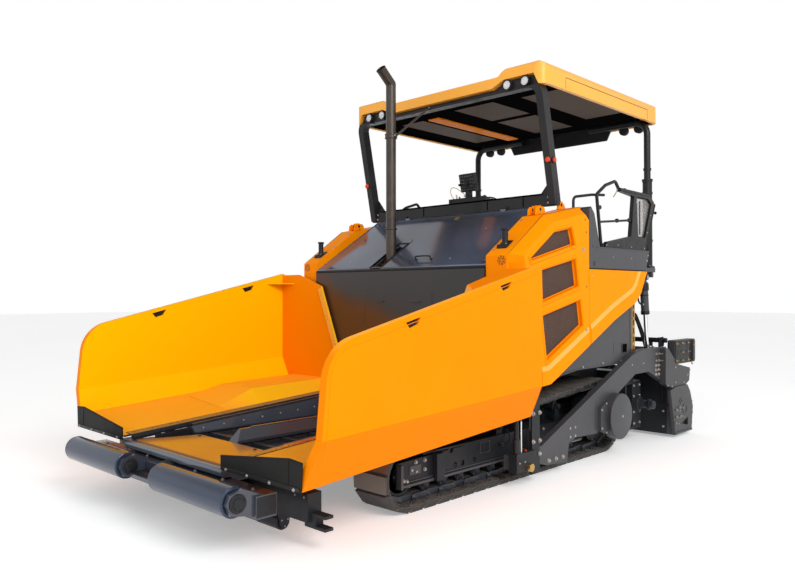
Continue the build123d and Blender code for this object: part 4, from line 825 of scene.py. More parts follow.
def makeWingTrim():
    strips, openingShades, bolts, lips = newForms(4)
    start, end = -2.9, -0.62
    step = (end - start) / wingDetail["stripCount"]
    low, high = 0.702, 0.702 + wingDetail["stripWidth"]
    for i in range(wingDetail["stripCount"]):
        one, two = start + i * step, start + (i + 1) * step - wingDetail["stripGap"]
        corners = rectangle((low, high), (one, two))
        addPlate(strips, [(x, y, wingFloor(x, y) - 0.001) for x, y in corners],
            (0, 0, wingDetail["stripLift"]))
        for share in (0.12, 0.5, 0.88):
            y = one + (two - one) * share
            spot = (low + 0.06, y, wingFloor(low + 0.06, y) + wingDetail["stripLift"] - 0.001)
            addStud(bolts, spot, toTop, 0.009, 0.003)
    # dark plates behind the two rim slots, painted shade in the slots, with bars across
    for first in (-2.19, -1.13):
        top = [wingTop(first + way) - 0.034 for way in (0, 0.15)]
        outline = [(first, top[0]), (first + 0.15, top[1]), (first + 0.118, top[1] - 0.052),
            (first + 0.038, top[0] - 0.042)]
        sidePlate(openingShades, outline, 1.728, 1.752)
        for share in (0.28, 0.48, 0.68):
            y = first + 0.15 * share
            z = wingTop(y) - 0.038
            addBlock(openingShades, (1.72, 1.76), (y, y + 0.008), (z - 0.036, z))
    # bolts on the strip at the return plate's edge and along the floor's rear
    for share in (0.07, 0.12, 0.47, 0.52, 0.88, 0.93):
        x, z = 1.038 - 0.262 * share, 1.742 - 0.632 * share
        addBolt(lips, (x, -0.591, z), toFront, 0.008)
    for z in (0.8, 0.95):
        addBolt(lips, (0.772, -0.591, z), toFront, 0.008)
    # the slanted strip itself, in the paler orange of the painted highlight
    edging = bmesh.new()
    start, way = Vector((1.038, 1.742)), Vector((-0.262, -0.632))
    side = Vector((way.y, -way.x)).normalized() * 0.032
    frontPlate(edging, [start + side, start - side, start + way - side, start + way + side],
        -0.5945, -0.59)
    makePiece("wing_edge_strips", edging, "wing", "roofPaint", "pair", 0.001)
    for x in (0.86, 1.05, 1.24, 1.43):
        y = -0.605
        addLathe(lips, (x, y, wingFloor(x, y) - 0.002), toTop, mm(0, 13, 12, 13, 18, 7, 19, 0), 14)
    # lap seam that follows the rim on the outside
    seam = [(-2.9, 0.62), (-2.846, 1.2), (-2.8, 1.3), (-2.7, 1.36), (-2.6, 1.375), (-0.56, 1.86)]
    for one, two in zip(seam, seam[1:]):
        way = (Vector(two) - Vector(one)).normalized()
        side = leftOf(way) * 0.0022
        outline = [Vector(one) - side, Vector(two) - side, Vector(two) + side, Vector(one) + side]
        sidePlate(lips, outline, 1.7692, 1.7712)
    makePieces("wing", "pair", ("wing_hinge_strips", strips, "glossPaint"),
        ("wing_slot_liners", openingShades, "blackPaint"), ("wing_strip_studs", bolts, "conveyorSteel"),
        ("wing_studs", lips, "hopperPaint"))


flapDetail = {"stripHeight": 0.026, "stripThickness": 0.006, "boltSize": 0.0095}


def makeFlapTrim():
    strip, bolts, folds = newForms(3)
    front = -2.9603
    low = 0.477
    outline = [(0.765, low), (1.6, low + 0.003), (1.612, low + 0.012),
        (1.606, low + flapDetail["stripHeight"] + 0.003), (0.765, low + flapDetail["stripHeight"])]
    frontPlate(strip, outline, front - flapDetail["stripThickness"], front)
    for x in (0.817, 1.065, 1.311, 1.559):
        addBolt(bolts, (x, front - flapDetail["stripThickness"], low + 0.013), toFront,
            flapDetail["boltSize"])
    # rolled top edge and the fold near the outer end
    ridge = [(0.742, 0.576), (1.498, 0.668), (1.63, 0.66)]
    for (x1, z1), (x2, z2) in zip(ridge, ridge[1:]):
        frontPlate(folds, [(x1, z1 - 0.008), (x2, z2 - 0.008), (x2, z2 - 0.001), (x1, z1 - 0.001)],
            front - 0.004, front)
    addBlock(folds, (1.494, 1.502), (front - 0.003, front), (0.505, 0.662))
    makePieces("wing", "pair", ("flap_strip", strip, "blackPaint", 0.0015),
        ("flap_bolts", bolts, "zincSteel"), ("flap_folds", folds, "rubber", 0.001))


rollerDetail = {"place": (-3.146, 0.376), "radius": 0.1, "inner": 0.258, "outer": 1.185}


def makePushRollerTrim():
    y, z = rollerDetail["place"]
    radius = rollerDetail["radius"]
    discs, rings, caps, bolts = newForms(4)
    for x, way in ((rollerDetail["outer"], 1), (rollerDetail["inner"], -1)):
        # rim and dished end of the roller, then the brass ring on its shaft
        addLathe(discs, (x, y, z), (way, 0, 0), [(-0.02, radius + 0.0005), (0.001, radius - 0.0005),
            (0.004, radius - 0.006), (0.004, radius - 0.022), (0.001, radius - 0.028),
            (0.001, 0.03)], 48)
        addLathe(rings, (x, y, z), (way, 0, 0), mm(1, 44, 6, 44, 7.5, 40, 7.5, 29), 32)
        # cap on the bracket: a flanged cover with a keeper plate
        face = x + way * 0.042
        addLathe(caps, (face, y, z), (way, 0, 0), mm(0, 62, 6, 62, 9, 56, 9, 40, 18, 36, 20,
            30, 20, 0), 32)
        for spot in circle(4, 0.05, math.radians(20)):
            addBolt(bolts, (face + way * 0.007, y + spot.x, z + spot.y), (way, 0, 0), 0.0065)
    makePieces("push_roller", "pair", ("push_roller_ends", discs, "rollerPaint"),
        ("push_roller_rings", rings, "brass"))
    makePieces("machine", "both", ("push_roller_caps", caps, "framePaint"),
        ("push_roller_bolts", bolts, "framePaint"))


beamDetail = {"top": 0.4, "teeth": 26, "boltSize": 0.01}


def makeFrontFrameTrim():
    top = beamDetail["top"]
    plates, bolts, rollers, wheels = newForms(4)
    # serrated strip along the beam's front edge, pivot disc in the middle
    for i in range(beamDetail["teeth"]):
        x = 0.3 + i * 0.018
        addBlock(plates, (x, x + 0.009), (-3.022, -3.002), (top - 0.001, top + 0.004))
    addBlock(plates, (0.29, 1.16), (-3.0, -2.99), (top - 0.001, top + 0.003))
    addBlock(plates, (1.236, 1.251), (-3.02, -2.866), (0.262, 0.392))
    for x, y in ((0.36, -2.93), (0.72, -2.93), (1.08, -2.93), (0.72, -3.01)):
        addBolt(bolts, (x, y, top), toTop, beamDetail["boltSize"])
    # small plate with two holes under the wing's corner, on the cross beam
    addBlock(plates, (1.2, 1.345), (-2.696, -2.689), (0.3, 0.365))
    for x in (1.225, 1.32):
        addStud(bolts, (x, -2.695, 0.345), toFront, 0.008, 0.003)
    # gusset that ties the push beam to the frame
    sidePlate(plates, [(-2.855, 0.255), (-2.7, 0.2), (-2.7, 0.315), (-2.855, 0.318)], 0.704, 0.716)
    # guide roller across the machine, under the cross beam
    addLathe(wheels, (0.745, -2.632, 0.108), toSide, mm(0, 54, 6, 60, 262, 60, 268, 54), 32)
    addLathe(wheels, (1.013, -2.632, 0.108), toSide, mm(0, 34, 12, 32, 18, 24, 20, 0))
    for x in (0.728, 1.018):
        outline = [(-2.685, 0.182), (-2.58, 0.182), (-2.594, 0.092), (-2.614, 0.066),
            (-2.65, 0.066), (-2.67, 0.092)]
        sidePlate(rollers, outline, x, x + 0.014)
    for spot in circle(3, 0.03, math.radians(30)):
        addBolt(bolts, (1.032, spot.x - 2.632, spot.y + 0.108), toSide, 0.005)
    makePieces("machine", "both", ("push_beam_strips", plates, "framePaint", 0.001),
        ("push_beam_bolts", bolts, "zincSteel"), ("guide_roller_brackets", rollers, "framePaint",
        0.0015), ("guide_rollers", wheels, "framePaint"))
    middle = bmesh.new()
    addLathe(middle, (0, -2.945, top - 0.001), toTop, mm(0, 74, 10, 72, 16, 60, 17, 30, 30,
        26, 33, 0), 40)
    addBlock(middle, span(0, 0.235), (-3.135, -3.03), (0.3295, 0.334))
    topPlate(middle, [(-0.11, -3.12), (0.11, -3.12), (0.085, -3.045), (-0.085, -3.045)],
        0.333, 0.341)
    makePiece("push_beam_pivot", middle, "machine", "framePaint", "one", 0.0015)


conveyorDetail = {"linkPitch": 0.05, "linkWidth": 0.034, "linkHeight": 0.006}


def makeHopperTrim():
    links, lips, bolts, hatch, edges = newForms(5)
    top = 0.455
    count = int(2.04 / conveyorDetail["linkPitch"])
    for x in (0.014, 0.604):
        for i in range(count):
            y = -2.63 + i * conveyorDetail["linkPitch"]
            wide = 0.0 if i % 2 else 0.004
            addBlock(links, (x + 0.002 + wide, x + 0.022 - wide),
                (y, y + conveyorDetail["linkWidth"]), (top - 0.001,
                top + conveyorDetail["linkHeight"]))
            addDisc(links, (x + 0.001, y - 0.008, top - 0.006), toSide, 0.009, 0.022, 8)
    # side covers: countersunk screws
    for i in range(9):
        y = -2.28 + i * 0.21
        z = wingFloor(0, y) - 0.024
        low, high = Vector((0.575, 0.483)), Vector((0.632, z))
        spot = low.lerp(high, 0.5)
        away = Vector((-(high.y - low.y), high.x - low.x)).normalized()
        addLathe(bolts, (spot.x, y, spot.y), (away.x, 0, away.y), mm(0, 10, 2.5, 8, 3, 0), 12)
    # fixed strips along the frame's side of the wing hinges
    for i in range(6):
        one, two = -2.36 + i * 0.3, -2.065 + i * 0.3
        corners = rectangle((0.641, 0.672), (one, two))
        addPlate(links, [(x, y, wingFloor(x, y) - 0.026) for x, y in corners], (0, 0, 0.02))
    makePieces("machine", "both", ("conveyor_links", links, "conveyorSteel"),
        ("cover_screws", bolts, "zincSteel"))
    addBlock(lips, span(0, 0.012), (-2.2, -0.55), (0.575, 0.583))
    for x in (-0.4, 0.4):
        addBolt(lips, (x, -2.44, 0.483), toTop, 0.013)
    addBlock(lips, span(0, 0.716), (-2.868, -2.861), (0.4705, 0.4745))
    makePiece("hopper_lip_trim", lips, "machine", "glossPaint", "one", 0.001)
    # hatch in the rear wall, its screws and two lift handles
    wall = -0.5403
    addBlock(hatch, (-0.358, 0.547), (wall - 0.004, wall), (1.205, 1.7))
    for x in (-0.338, 0.095, 0.527):
        for z in (1.225, 1.68):
            addLathe(hatch, (x, wall - 0.004, z), toFront, mm(0, 11, 3, 9, 4, 0), 12)
    for low in (-0.2, 0.29):
        addBlock(hatch, (low, low + 0.11), (wall - 0.016, wall - 0.01), (1.6, 1.612))
        for x in (low, low + 0.098):
            addBlock(hatch, (x, x + 0.012), (wall - 0.015, wall - 0.003), (1.6, 1.612))
    makePiece("rear_wall_hatch", hatch, "machine", "wallPaint", "one", 0.001)
    # rubber edge along the wall's top, and the tunnel mouth's frame
    addBlock(edges, span(0, 1.155), (-0.541, -0.505), (1.9105, 1.918))
    for side in (-1, 1):
        addBlock(edges, sorted((side * 0.645, side * 0.66)), (-0.546, -0.5405), (0.7, 0.925))
    addBlock(edges, span(0, 0.66), (-0.546, -0.5405), (0.905, 0.925))
    makePiece("rear_wall_edge", edges, "machine", "rubber", "one", 0.001)


makeWingTrim()
makeFlapTrim()
makePushRollerTrim()
makeFrontFrameTrim()
makeHopperTrim()
print("hopper and push rollers dressed")


def crossings(outline, way, offset):
    # where a line meets an outline, as stretches along the line
    across = leftOf(way)
    spots = []
    for i in range(len(outline)):
        one, two = Vector(outline[i - 1]), Vector(outline[i])
        first, second = one.dot(across) - offset, two.dot(across) - offset
        if first * second < 0:
            spot = one.lerp(two, first / (first - second))
            spots.append(spot.dot(way))
    spots.sort()
    return [(low * way + across * offset, high * way + across * offset)
        for low, high in zip(spots[::2], spots[1::2])]


grilleDetail = {"wireSpacing": 0.017, "wireRadius": 0.0022, "plane": 1.4475, "lip": 0.012}
grilleWindows = [
    [(-0.295, 1.997), (0.095, 2.254), (0.385, 2.306), (0.444, 2.147), (-0.283, 1.972)],
    [(-0.12, 1.896), (0.457, 2.014), (0.509, 1.753), (-0.109, 1.604)],
    [(-0.11, 1.483), (0.541, 1.622), (0.589, 1.376), (-0.044, 1.078)]]


def offsetOutline(outline, inset):
    # the same closed outline moved in, or out where inset is below zero
    points = [Vector(point) for point in outline]
    middle = sum(points, Vector((0, 0))) / len(points)
    return [insetCorner(points[i - 1], points[i], points[(i + 1) % len(points)], inset, middle)
        for i in range(len(points))]


def offsetLine(points, distance):
    # an open line moved to its left by a distance, its corners mitred
    points = [Vector(point) for point in points]
    moved = []
    for i, point in enumerate(points):
        ways = [(points[k + 1] - points[k]).normalized()
            for k in (i - 1, i) if 0 <= k < len(points) - 1]
        normals = [leftOf(way) for way in ways]
        across = sum(normals, Vector((0, 0))).normalized()
        moved.append(point + across * distance / across.dot(normals[0]))
    return moved


def addRows(bm, loops, heights, closed=True):
    # skins the surface between outlines that lie at different x
    rows = [[bm.verts.new((x, *point)) for point in loop] for loop, x in zip(loops, heights)]
    for low, high in zip(rows, rows[1:]):
        for k in range(len(low) if closed else len(low) - 1):
            other = (k + 1) % len(low)
            bm.faces.new((low[k], low[other], high[other], high[k]))


reliefDetail = {"band": 0.13, "slope": 0.045, "rise": 0.009, "surround": 0.038}


def makeDoorRelief():
    # pressed surrounds of the windows, and the raised band along the lower edge of door and tail
    face, rise = bodySide, reliefDetail["rise"]
    around, doorBand, tailBand, doorHighlight, tailHighlight = newForms(5)
    for window in grilleWindows:
        out = reliefDetail["surround"]
        loops = [offsetOutline(window, -inset) for inset in (out, out - 0.013, 0.014, 0.004, 0.003)]
        addRows(around, loops, (face, face + rise, face + rise, face + 0.001, 1.452))
    band, slope = reliefDetail["band"], reliefDetail["slope"]
    for bm, light, edge in ((doorBand, doorHighlight, [(-0.128, 0.851), (0.021, 0.861), (0.7, 1.169)]),
            (tailBand, tailHighlight, [(0.738, 1.187), (1.236, 1.413), (1.684, 1.581), (1.809, 1.681),
            (1.953, 1.92)])):
        loops = [offsetLine(edge, distance) for distance in (0.001, 0.006, band, band + slope)]
        for loop in loops:
            # ends cut upright at the gap, and level under the sill
            way = loop[1] - loop[0]
            loop[0] += way * (edge[0][0] - loop[0].x) / way.x
            way = loop[-1] - loop[-2]
            if edge[-1][1] > 1.5:
                loop[-1] += way * (1.92 - loop[-1].y) / way.y
            else:
                loop[-1] += way * (edge[-1][0] - loop[-1].x) / way.x
        heights = (face - 0.001, face + rise, face + rise, face)
        addRows(bm, loops, heights, False)
        for end in (0, -1):
            corners = [bm.verts.new((x, *loop[end])) for loop, x in zip(loops, heights)]
            bm.faces.new(corners)
        # the slope itself in the paler orange: a painted highlight where the light catches it
        addRows(light, [loops[2], loops[3], loops[3], loops[2], loops[2]],
            (face + rise + 0.0006, face + 0.0006, face - 0.001, face + rise - 0.001,
            face + rise + 0.0006), False)
    makePieces("door", "pair", ("door_window_surrounds", around, "machinePaint"),
        ("door_lower_bands", doorBand, "machinePaint"))
    makePiece("tail_lower_bands", tailBand, "machine", "machinePaint", "both")
    makePiece("door_band_highlights", doorHighlight, "door", "roofPaint", "pair")
    makePiece("tail_band_highlights", tailHighlight, "machine", "roofPaint", "both")


def makeGrilles():
    wires, lips, seams = newForms(3)
    plane = grilleDetail["plane"]
    radius = grilleDetail["wireRadius"]
    for window in grilleWindows:
        for turn, lift in ((62, 0.0), (-62, radius)):
            way = around(math.radians(turn))
            across = leftOf(way)
            reach = [Vector(point).dot(across) for point in window]
            offset = min(reach) + grilleDetail["wireSpacing"] / 2
            while offset < max(reach):
                for low, high in crossings(window, way, offset):
                    if (high - low).length > 0.01:
                        side = across * radius
                        outline = [low - side, high - side, high + side, low + side]
                        sidePlate(wires, outline, plane + lift - radius,
                            plane + lift + radius * 0.6)
                offset += grilleDetail["wireSpacing"]
        addFrame(lips, window, grilleDetail["lip"], 1.4475, 1.458)
        addFrame(seams, window, 0.006, 1.447, 1.456)
    makePieces("door", "pair", ("door_grille_wires", wires, "meshPaint"),
        ("door_window_lips", lips, "machinePaint", 0.0035), ("door_window_seals", seams, "rubber"))


lockPlaces = [(0.6, 2.105), (0.655, 1.32)]


def makeDoorFittings():
    bolts, locks = newForms(2)
    for y, z in lockPlaces:
        addLathe(locks, (1.489, y, z), toSide, mm(0, 22, 4, 22, 6, 18, 4.5, 8, 4.5, 0))
        addBlock(locks, (1.49, 1.4965), span(y, 0.002), span(z, 0.009))
    for y, z in ((0.66, 1.75), (0.66, 2.28), (0.64, 2.4)):
        addStud(bolts, (bodySide, y, z), toSide, 0.01, 0.003)
    makePieces("door", "pair", ("door_locks", locks, "zincSteel"),
        ("door_screws", bolts, "blackPaint"))


podDetail = {"post": (1.271, -0.376), "postRadius": 0.027, "ventRings": 3}


def makePodTrim():
    x, y = podDetail["post"]
    posts, lugs, vents, bolts = newForms(4)
    radius = podDetail["postRadius"]
    addLathe(posts, (x, y, 2.12), toTop, [(0, 0.05), (0.006, 0.05), (0.008, radius + 0.004),
        (0.02, radius + 0.001), (0.128, radius + 0.001), (0.134, 0.0355), (0.146, 0.036),
        (0.149, 0.03), (0.149, 0)], 32)
    sidePlate(posts, [(y - 0.052, 2.085), (y + 0.052, 2.15), (y + 0.052, 2.162), (y - 0.02, 2.122),
        (y - 0.052, 2.122)], x - 0.052, x + 0.052)
    for dx, dy in ((-0.036, -0.036), (0.036, -0.036)):
        addBolt(bolts, (x + dx, y + dy, 2.126), toTop, 0.006)
    # lifting lugs: a bracket of two plates with a cross web, and a single one behind it
    for low in (1.205, 1.29):
        outline = [(0.072, 2.418), (0.236, 2.448), (0.226, 2.486), (0.204, 2.508), (0.106, 2.5),
            (0.078, 2.474)]
        sidePlate(lugs, outline, low, low + 0.01)
    sidePlate(lugs, [(0.15, 2.432), (0.16, 2.434), (0.16, 2.515), (0.15, 2.515)], 1.205, 1.3)
    outline = [(0.505, 2.505), (0.655, 2.532), (0.64, 2.56), (0.6, 2.594), (0.56, 2.59),
        (0.52, 2.545)]
    sidePlate(lugs, outline, 1.25, 1.262)
    # the lugs' eyes are dark discs: painted shade in the holes
    for y2, z2, low, high in ((0.15, 2.478, 1.2035, 1.2165), (0.15, 2.478, 1.2885, 1.3015),
            (0.582, 2.558, 1.2485, 1.2635)):
        addDisc(vents, (low, y2, z2), toSide, 0.016, high - low, 20)
    # round vent in the nose: rings of short dark slots on a flat boss: painted shade in the
    # openings
    face = -0.5183
    centre = Vector((1.335, 1.975))
    for ring in range(podDetail["ventRings"]):
        reach = 0.012 + ring * 0.012
        count = 4 + ring * 2
        for i in range(count):
            start = 2 * math.pi * i / count + ring * 0.35
            arc = [around(start + 2 * math.pi / count * 0.62 * k / 4) for k in range(5)]
            outline = [centre + way * reach for way in arc] + [centre + way * (reach + 0.006)
                for way in arc[::-1]]
            frontPlate(vents, outline, face - 0.0012, face + 0.002)
    # seams of the pod's skin and the panel screws
    for outline in ([(-0.505, 2.026), (-0.5055, 2.03), (0.046, 2.4125), (0.046, 2.4085)],
            [(0.046, 2.4085), (0.046, 2.4115), (0.7, 2.5405), (0.7, 2.5375)]):
        sidePlate(vents, outline, 1.3935, 1.3965)
    for share in (0.1, 0.5, 0.9):
        spot = Vector((-0.5, 2.036)).lerp(Vector((0.04, 2.405)), share)
        addStud(bolts, (1.2, spot.x, spot.y), (0, -0.56, 0.83), 0.011, 0.004)
    makePieces("machine", "both", ("pod_posts", posts, "framePaint"),
        ("pod_lugs", lugs, "machinePaint", 0.0015), ("pod_vents", vents, "blackPaint"),
        ("pod_bolts", bolts, "zincSteel"))


hoodDetail = {"front": (-0.516, 1.945), "rear": (0.43, 2.54), "handleX": (0.215, 0.415)}


def hoodPoint(x, y, lift=0.0):
    (y0, z0), (y1, z1) = hoodDetail["front"], hoodDetail["rear"]
    slope = (z1 - z0) / (y1 - y0)
    away = Vector((0, -slope, 1)).normalized()
    return Vector((x, y, z0 + (y - y0) * slope)) + away * lift


def hoodPatch(bm, corners, low, high):
    points = [hoodPoint(x, y, low) for x, y in corners]
    addPlate(bm, points, hoodPoint(0, 0, high) - hoodPoint(0, 0, low))


def makeHoodTrim():
    edging, handle, seams, bolts, hinges = newForms(5)
    # rubber edging around the exhaust slot
    for low, high in ((-0.334, -0.322), (-0.178, -0.166)):
        hoodPatch(edging, rectangle((low, high), (-0.514, -0.088)), -0.012, 0.01)
    hoodPatch(edging, rectangle((-0.334, -0.166), (-0.1, -0.088)), -0.012, 0.01)
    # raised deflector behind the pipe
    hoodPatch(seams, [(-0.345, -0.085), (-0.155, -0.085), (-0.175, -0.02), (-0.325, -0.02)],
        -0.001, 0.006)
    # lift handle: a bent bar on two feet
    low, high = hoodDetail["handleX"]
    points = [hoodPoint(low, -0.4, 0.0), hoodPoint(low, -0.4, 0.03),
        hoodPoint(low + 0.015, -0.4, 0.042), hoodPoint(high - 0.015, -0.4, 0.042),
        hoodPoint(high, -0.4, 0.03), hoodPoint(high, -0.4, 0.0)]
    makeTube("hood_handle", points, 0.0075, "hood", "blackPaint", False)
    for x in (low, high):
        spot = hoodPoint(x, -0.4, -0.001)
        away = hoodPoint(0, 0, 1) - hoodPoint(0, 0, 0)
        addLathe(handle, spot, away, mm(0, 20, 3, 20, 5, 10, 5, 0), 20)
    # stiffening folds along the rims, a seam across and the screws
    for x in (-1.158, 1.146):
        hoodPatch(seams, rectangle((x, x + 0.012), (-0.512, 0.425)), -0.001, 0.005)
    hoodPatch(seams, rectangle(span(0, 1.146), (-0.512, -0.5)), -0.001, 0.004)
    hoodPatch(seams, rectangle(span(0, 1.146), (0.395, 0.402)), -0.001, 0.002)
    away = hoodPoint(0, 0, 1) - hoodPoint(0, 0, 0)
    for x, y in ((-1.1, -0.45), (1.1, -0.45), (0.65, -0.4), (-0.75, -0.4), (-1.1, 0.35),
            (1.1, 0.35), (0.7, 0.1), (-0.7, 0.1)):
        addLathe(bolts, hoodPoint(x, y, -0.0005), away, mm(0, 11, 3, 10, 4, 4, 4, 0), 14)
    for x in (-0.95, 0.1):
        hoodPatch(hinges, rectangle((x, x + 0.05), (0.33, 0.38)), -0.001, 0.008)
        for shift in (0.012, 0.038):
            addStud(hinges, hoodPoint(x + shift, 0.355, 0.007), away, 0.007, 0.006)
    makePieces("hood", "one", ("hood_edging", edging, "rubber", 0.0015),
        ("hood_handle_feet", handle, "blackPaint"), ("hood_seams", seams, "hoodPaint", 0.001),
        ("hood_screws", bolts, "zincSteel"), ("hood_catches", hinges, "brass", 0.001))
    # trim at the hood's foot, between the wall and the pods
    strip = bmesh.new()
    addBlock(strip, span(0, 1.155), (-0.541, -0.516), (1.919, 1.938))
    makePiece("hood_foot_strip", strip, "machine", "blackPaint", "one", 0.002)


exhaustDetail = {"center": (-0.25, -0.28), "radius": 0.052}


def makeExhaustTrim():
    x, y = exhaustDetail["center"]
    radius = exhaustDetail["radius"]
    clamps, bolts = newForms(2)
    for z in (2.36, 3.312, 3.348):
        addLathe(clamps, (x, y, z - 0.008), toTop, [(0, radius + 0.0005), (0.002, radius + 0.0125),
            (0.014, radius + 0.0125), (0.016, radius + 0.0005)], 40)
    addBlock(clamps, (x + 0.058, x + 0.082), span(y, 0.012), (3.316, 3.344))
    addBolt(bolts, (x + 0.07, y - 0.012, 3.33), toFront, 0.009)
    addDisc(bolts, (x + 0.07, y + 0.012, 3.33), toRear, 0.008, 0.01, 6)
    # weld beads at the mitre and the outlet's rolled lip
    way = Vector((0, -0.15, 0.13)).normalized()
    tip = Vector((x, y - 0.15, 4.01))
    addLathe(clamps, tip - way * 0.012, way, [(0, radius), (0.003, radius + 0.003),
        (0.01, radius + 0.003), (0.0115, radius - 0.001), (0.0115, radius - 0.005),
        (0.0, radius - 0.006)], 40)
    addLathe(clamps, (x, y, 3.858), toTop, [(0, radius), (0.003, radius + 0.002), (0.006, radius)],
        40)
    # stay: flattened ends with bolts
    for place, way in (((x + 0.052, y + 0.022, 3.331), (0.4, -1, 0.2)),
            ((x + 0.074, 0.236, 3.712), (0, -1, 0))):
        addBolt(bolts, place, way, 0.009)
    makePieces("machine", "one", ("exhaust_clamps", clamps, "exhaustSteel"),
        ("exhaust_bolts", bolts, "zincSteel"))


panelDetail = {"face": 1.338, "boltSize": 0.01}


def makePanelTrim():
    face = panelDetail["face"]
    bolts, latch, seams = newForms(3)
    for y, z in ((0.849, 0.944), (1.25, 0.955), (1.65, 0.955), (0.3, 0.88)):
        addBolt(bolts, (face, y, z), toSide, panelDetail["boltSize"])
    # inspection pocket with its pull and a rolled rim; the sheet's own opening is closed flush
    addBlock(seams, (face - 0.038, face + 0.0005), (1.4865, 1.6055), (1.0425, 1.1485))
    addFrame(seams, rectangle((1.672, 1.788), (1.036, 1.14)), 0.007, face - 0.001, face + 0.005)
    # the pocket is a flat near-black plate: painted shade of its recess
    addBlock(latch, span(face, 0.001), (1.678, 1.782), (1.042, 1.134))
    addBlock(latch, (face - 0.001, face + 0.006), (1.69, 1.77), (1.08, 1.098))
    # fold lines of the sheet and the lap at its rear edge
    addBlock(seams, (face - 0.001, face + 0.003), (1.868, 1.882), (0.93, 1.918))
    arch = [(0.25, 0.845), (0.44, 0.89), (0.74, 0.921), (1.88, 0.924)]
    for one, two in zip(arch, arch[1:]):
        sidePlate(seams, [one, two, (two[0], two[1] + 0.012), (one[0], one[1] + 0.012)],
            face - 0.001, face + 0.004)
    # tail panels: screws under the platform
    for y, z in ((0.78, 1.86), (1.2, 1.86), (1.6, 1.86), (1.86, 1.86), (1.3, 1.5)):
        addStud(bolts, (bodySide, y, z), toSide, 0.009, 0.003)
    # dark plates inboard of the tracks: painted shade in the space under the body
    shadePlates = bmesh.new()
    addBlock(shadePlates, (1.0, 1.005), (0.3, 1.86), (0.9, 1.3))
    makePieces("machine", "both", ("track_shields", shadePlates, "framePaint"),
        ("panel_bolts", bolts, "zincSteel"), ("panel_latch", latch, "liningBlack", 0.002),
        ("panel_seams", seams, "armPaint", 0.001))


makeDoorRelief()
makeGrilles()
makeDoorFittings()
makePodTrim()
makeHoodTrim()
makeExhaustTrim()
makePanelTrim()
print("tractor body dressed")


roofDetail = {"half": 1.31, "front": 0.19, "rear": 2.67, "ceiling": 3.8, "panelDrop": 0.006,
    "seamWidth": 0.007}


def makeCanopyTrim():
    half, front, rear = roofDetail["half"], roofDetail["front"], roofDetail["rear"]
    ceiling = roofDetail["ceiling"]
    dark, panels, seams, fascia = newForms(4)
    # black lining over the whole underside, lighter panels between the beams
    drop = roofDetail["panelDrop"]
    addBlock(dark, (-half + 0.046, half - 0.046), (front + 0.165, rear - 0.048),
        (ceiling - drop, ceiling - 0.001))
    for side in (-1, 1):
        addBlock(dark, sorted((side * (half - 0.047), side * (half - 0.04))),
            (front + 0.16, rear - 0.05), (3.7, ceiling - 0.002))
    addBlock(dark, (-half + 0.05, half - 0.05), (rear - 0.05, rear - 0.043), (3.7, ceiling - 0.002))
    # smooth headliner under the beams, with framed brown panels and a warm strip
    addBlock(dark, span(0, 1.262), (0.355, 2.45), (3.7305, 3.7365))
    for x, y in (((-0.107, 0.45), (0.56, 1.28)), ((0.74, 1.21), (0.62, 1.98)),
            ((-1.03, -0.66), (0.68, 2.16)), ((-0.107, 0.45), (1.36, 2.2))):
        addBlock(panels, x, y, (3.7265, 3.731))
        for side in (0, 1):
            addBlock(dark, span(x[side], 0.008), (y[0] - 0.008, y[1] + 0.008), (3.7235, 3.731))
            addBlock(dark, (x[0] - 0.008, x[1] + 0.008), span(y[side], 0.008), (3.7238, 3.731))
    strip = bmesh.new()
    addBlock(strip, (-0.6, -0.44), (0.7, 2.3), (3.716, 3.731))
    # front fascia that follows the raised corners, behind the lamps
    outline = [(-1.245, 3.703), (-1.2, 3.79), (-0.856, 3.79), (-0.706, 3.728), (0.706, 3.728),
        (0.856, 3.79), (1.2, 3.79), (1.245, 3.703)]
    frontPlate(fascia, outline, front + 0.05, front + 0.059)
    addBlock(fascia, span(0, 1.19), (front + 0.045, front + 0.06), (3.686, 3.704))
    # seam of the removable side skirts
    for side in (-1, 1):
        xLow, xHigh = sorted((side * (half - 0.001), side * (half + 0.0006)))
        width = roofDetail["seamWidth"]
        for y, z in (((0.591, 2.373), (3.808, 3.808 + width)), ((2.37, 2.376), (3.7, 3.81)),
                ((0.589, 0.595), (3.7, 3.81))):
            addBlock(seams, (xLow, xHigh), y, z)
    # ribs pressed into the roof's top, below the raised edges
    top = bmesh.new()
    for x in (-0.6, -0.3, 0.0, 0.3, 0.6):
        outline = [(x - 0.035, 3.839), (x + 0.035, 3.839), (x + 0.022, 3.851), (x - 0.022, 3.851)]
        frontPlate(top, outline, 0.42, 2.44)
    makePieces("machine", "one", ("canopy_lining", dark, "liningBlack"),
        ("canopy_panels", panels, "panelPaint", 0.002), ("canopy_fascia", fascia, "blackPaint",
        0.002), ("canopy_seams", seams, "blackPaint"), ("canopy_strip", strip, "machinePaint",
        0.003), ("canopy_ribs", top, "roofPaint", 0.004))


lampDetail = {"frontX": (0.88, 1.09), "frontZ": 3.745, "rearX": (0.915, 1.105), "rearZ": 3.655,
    "radius": 0.048}


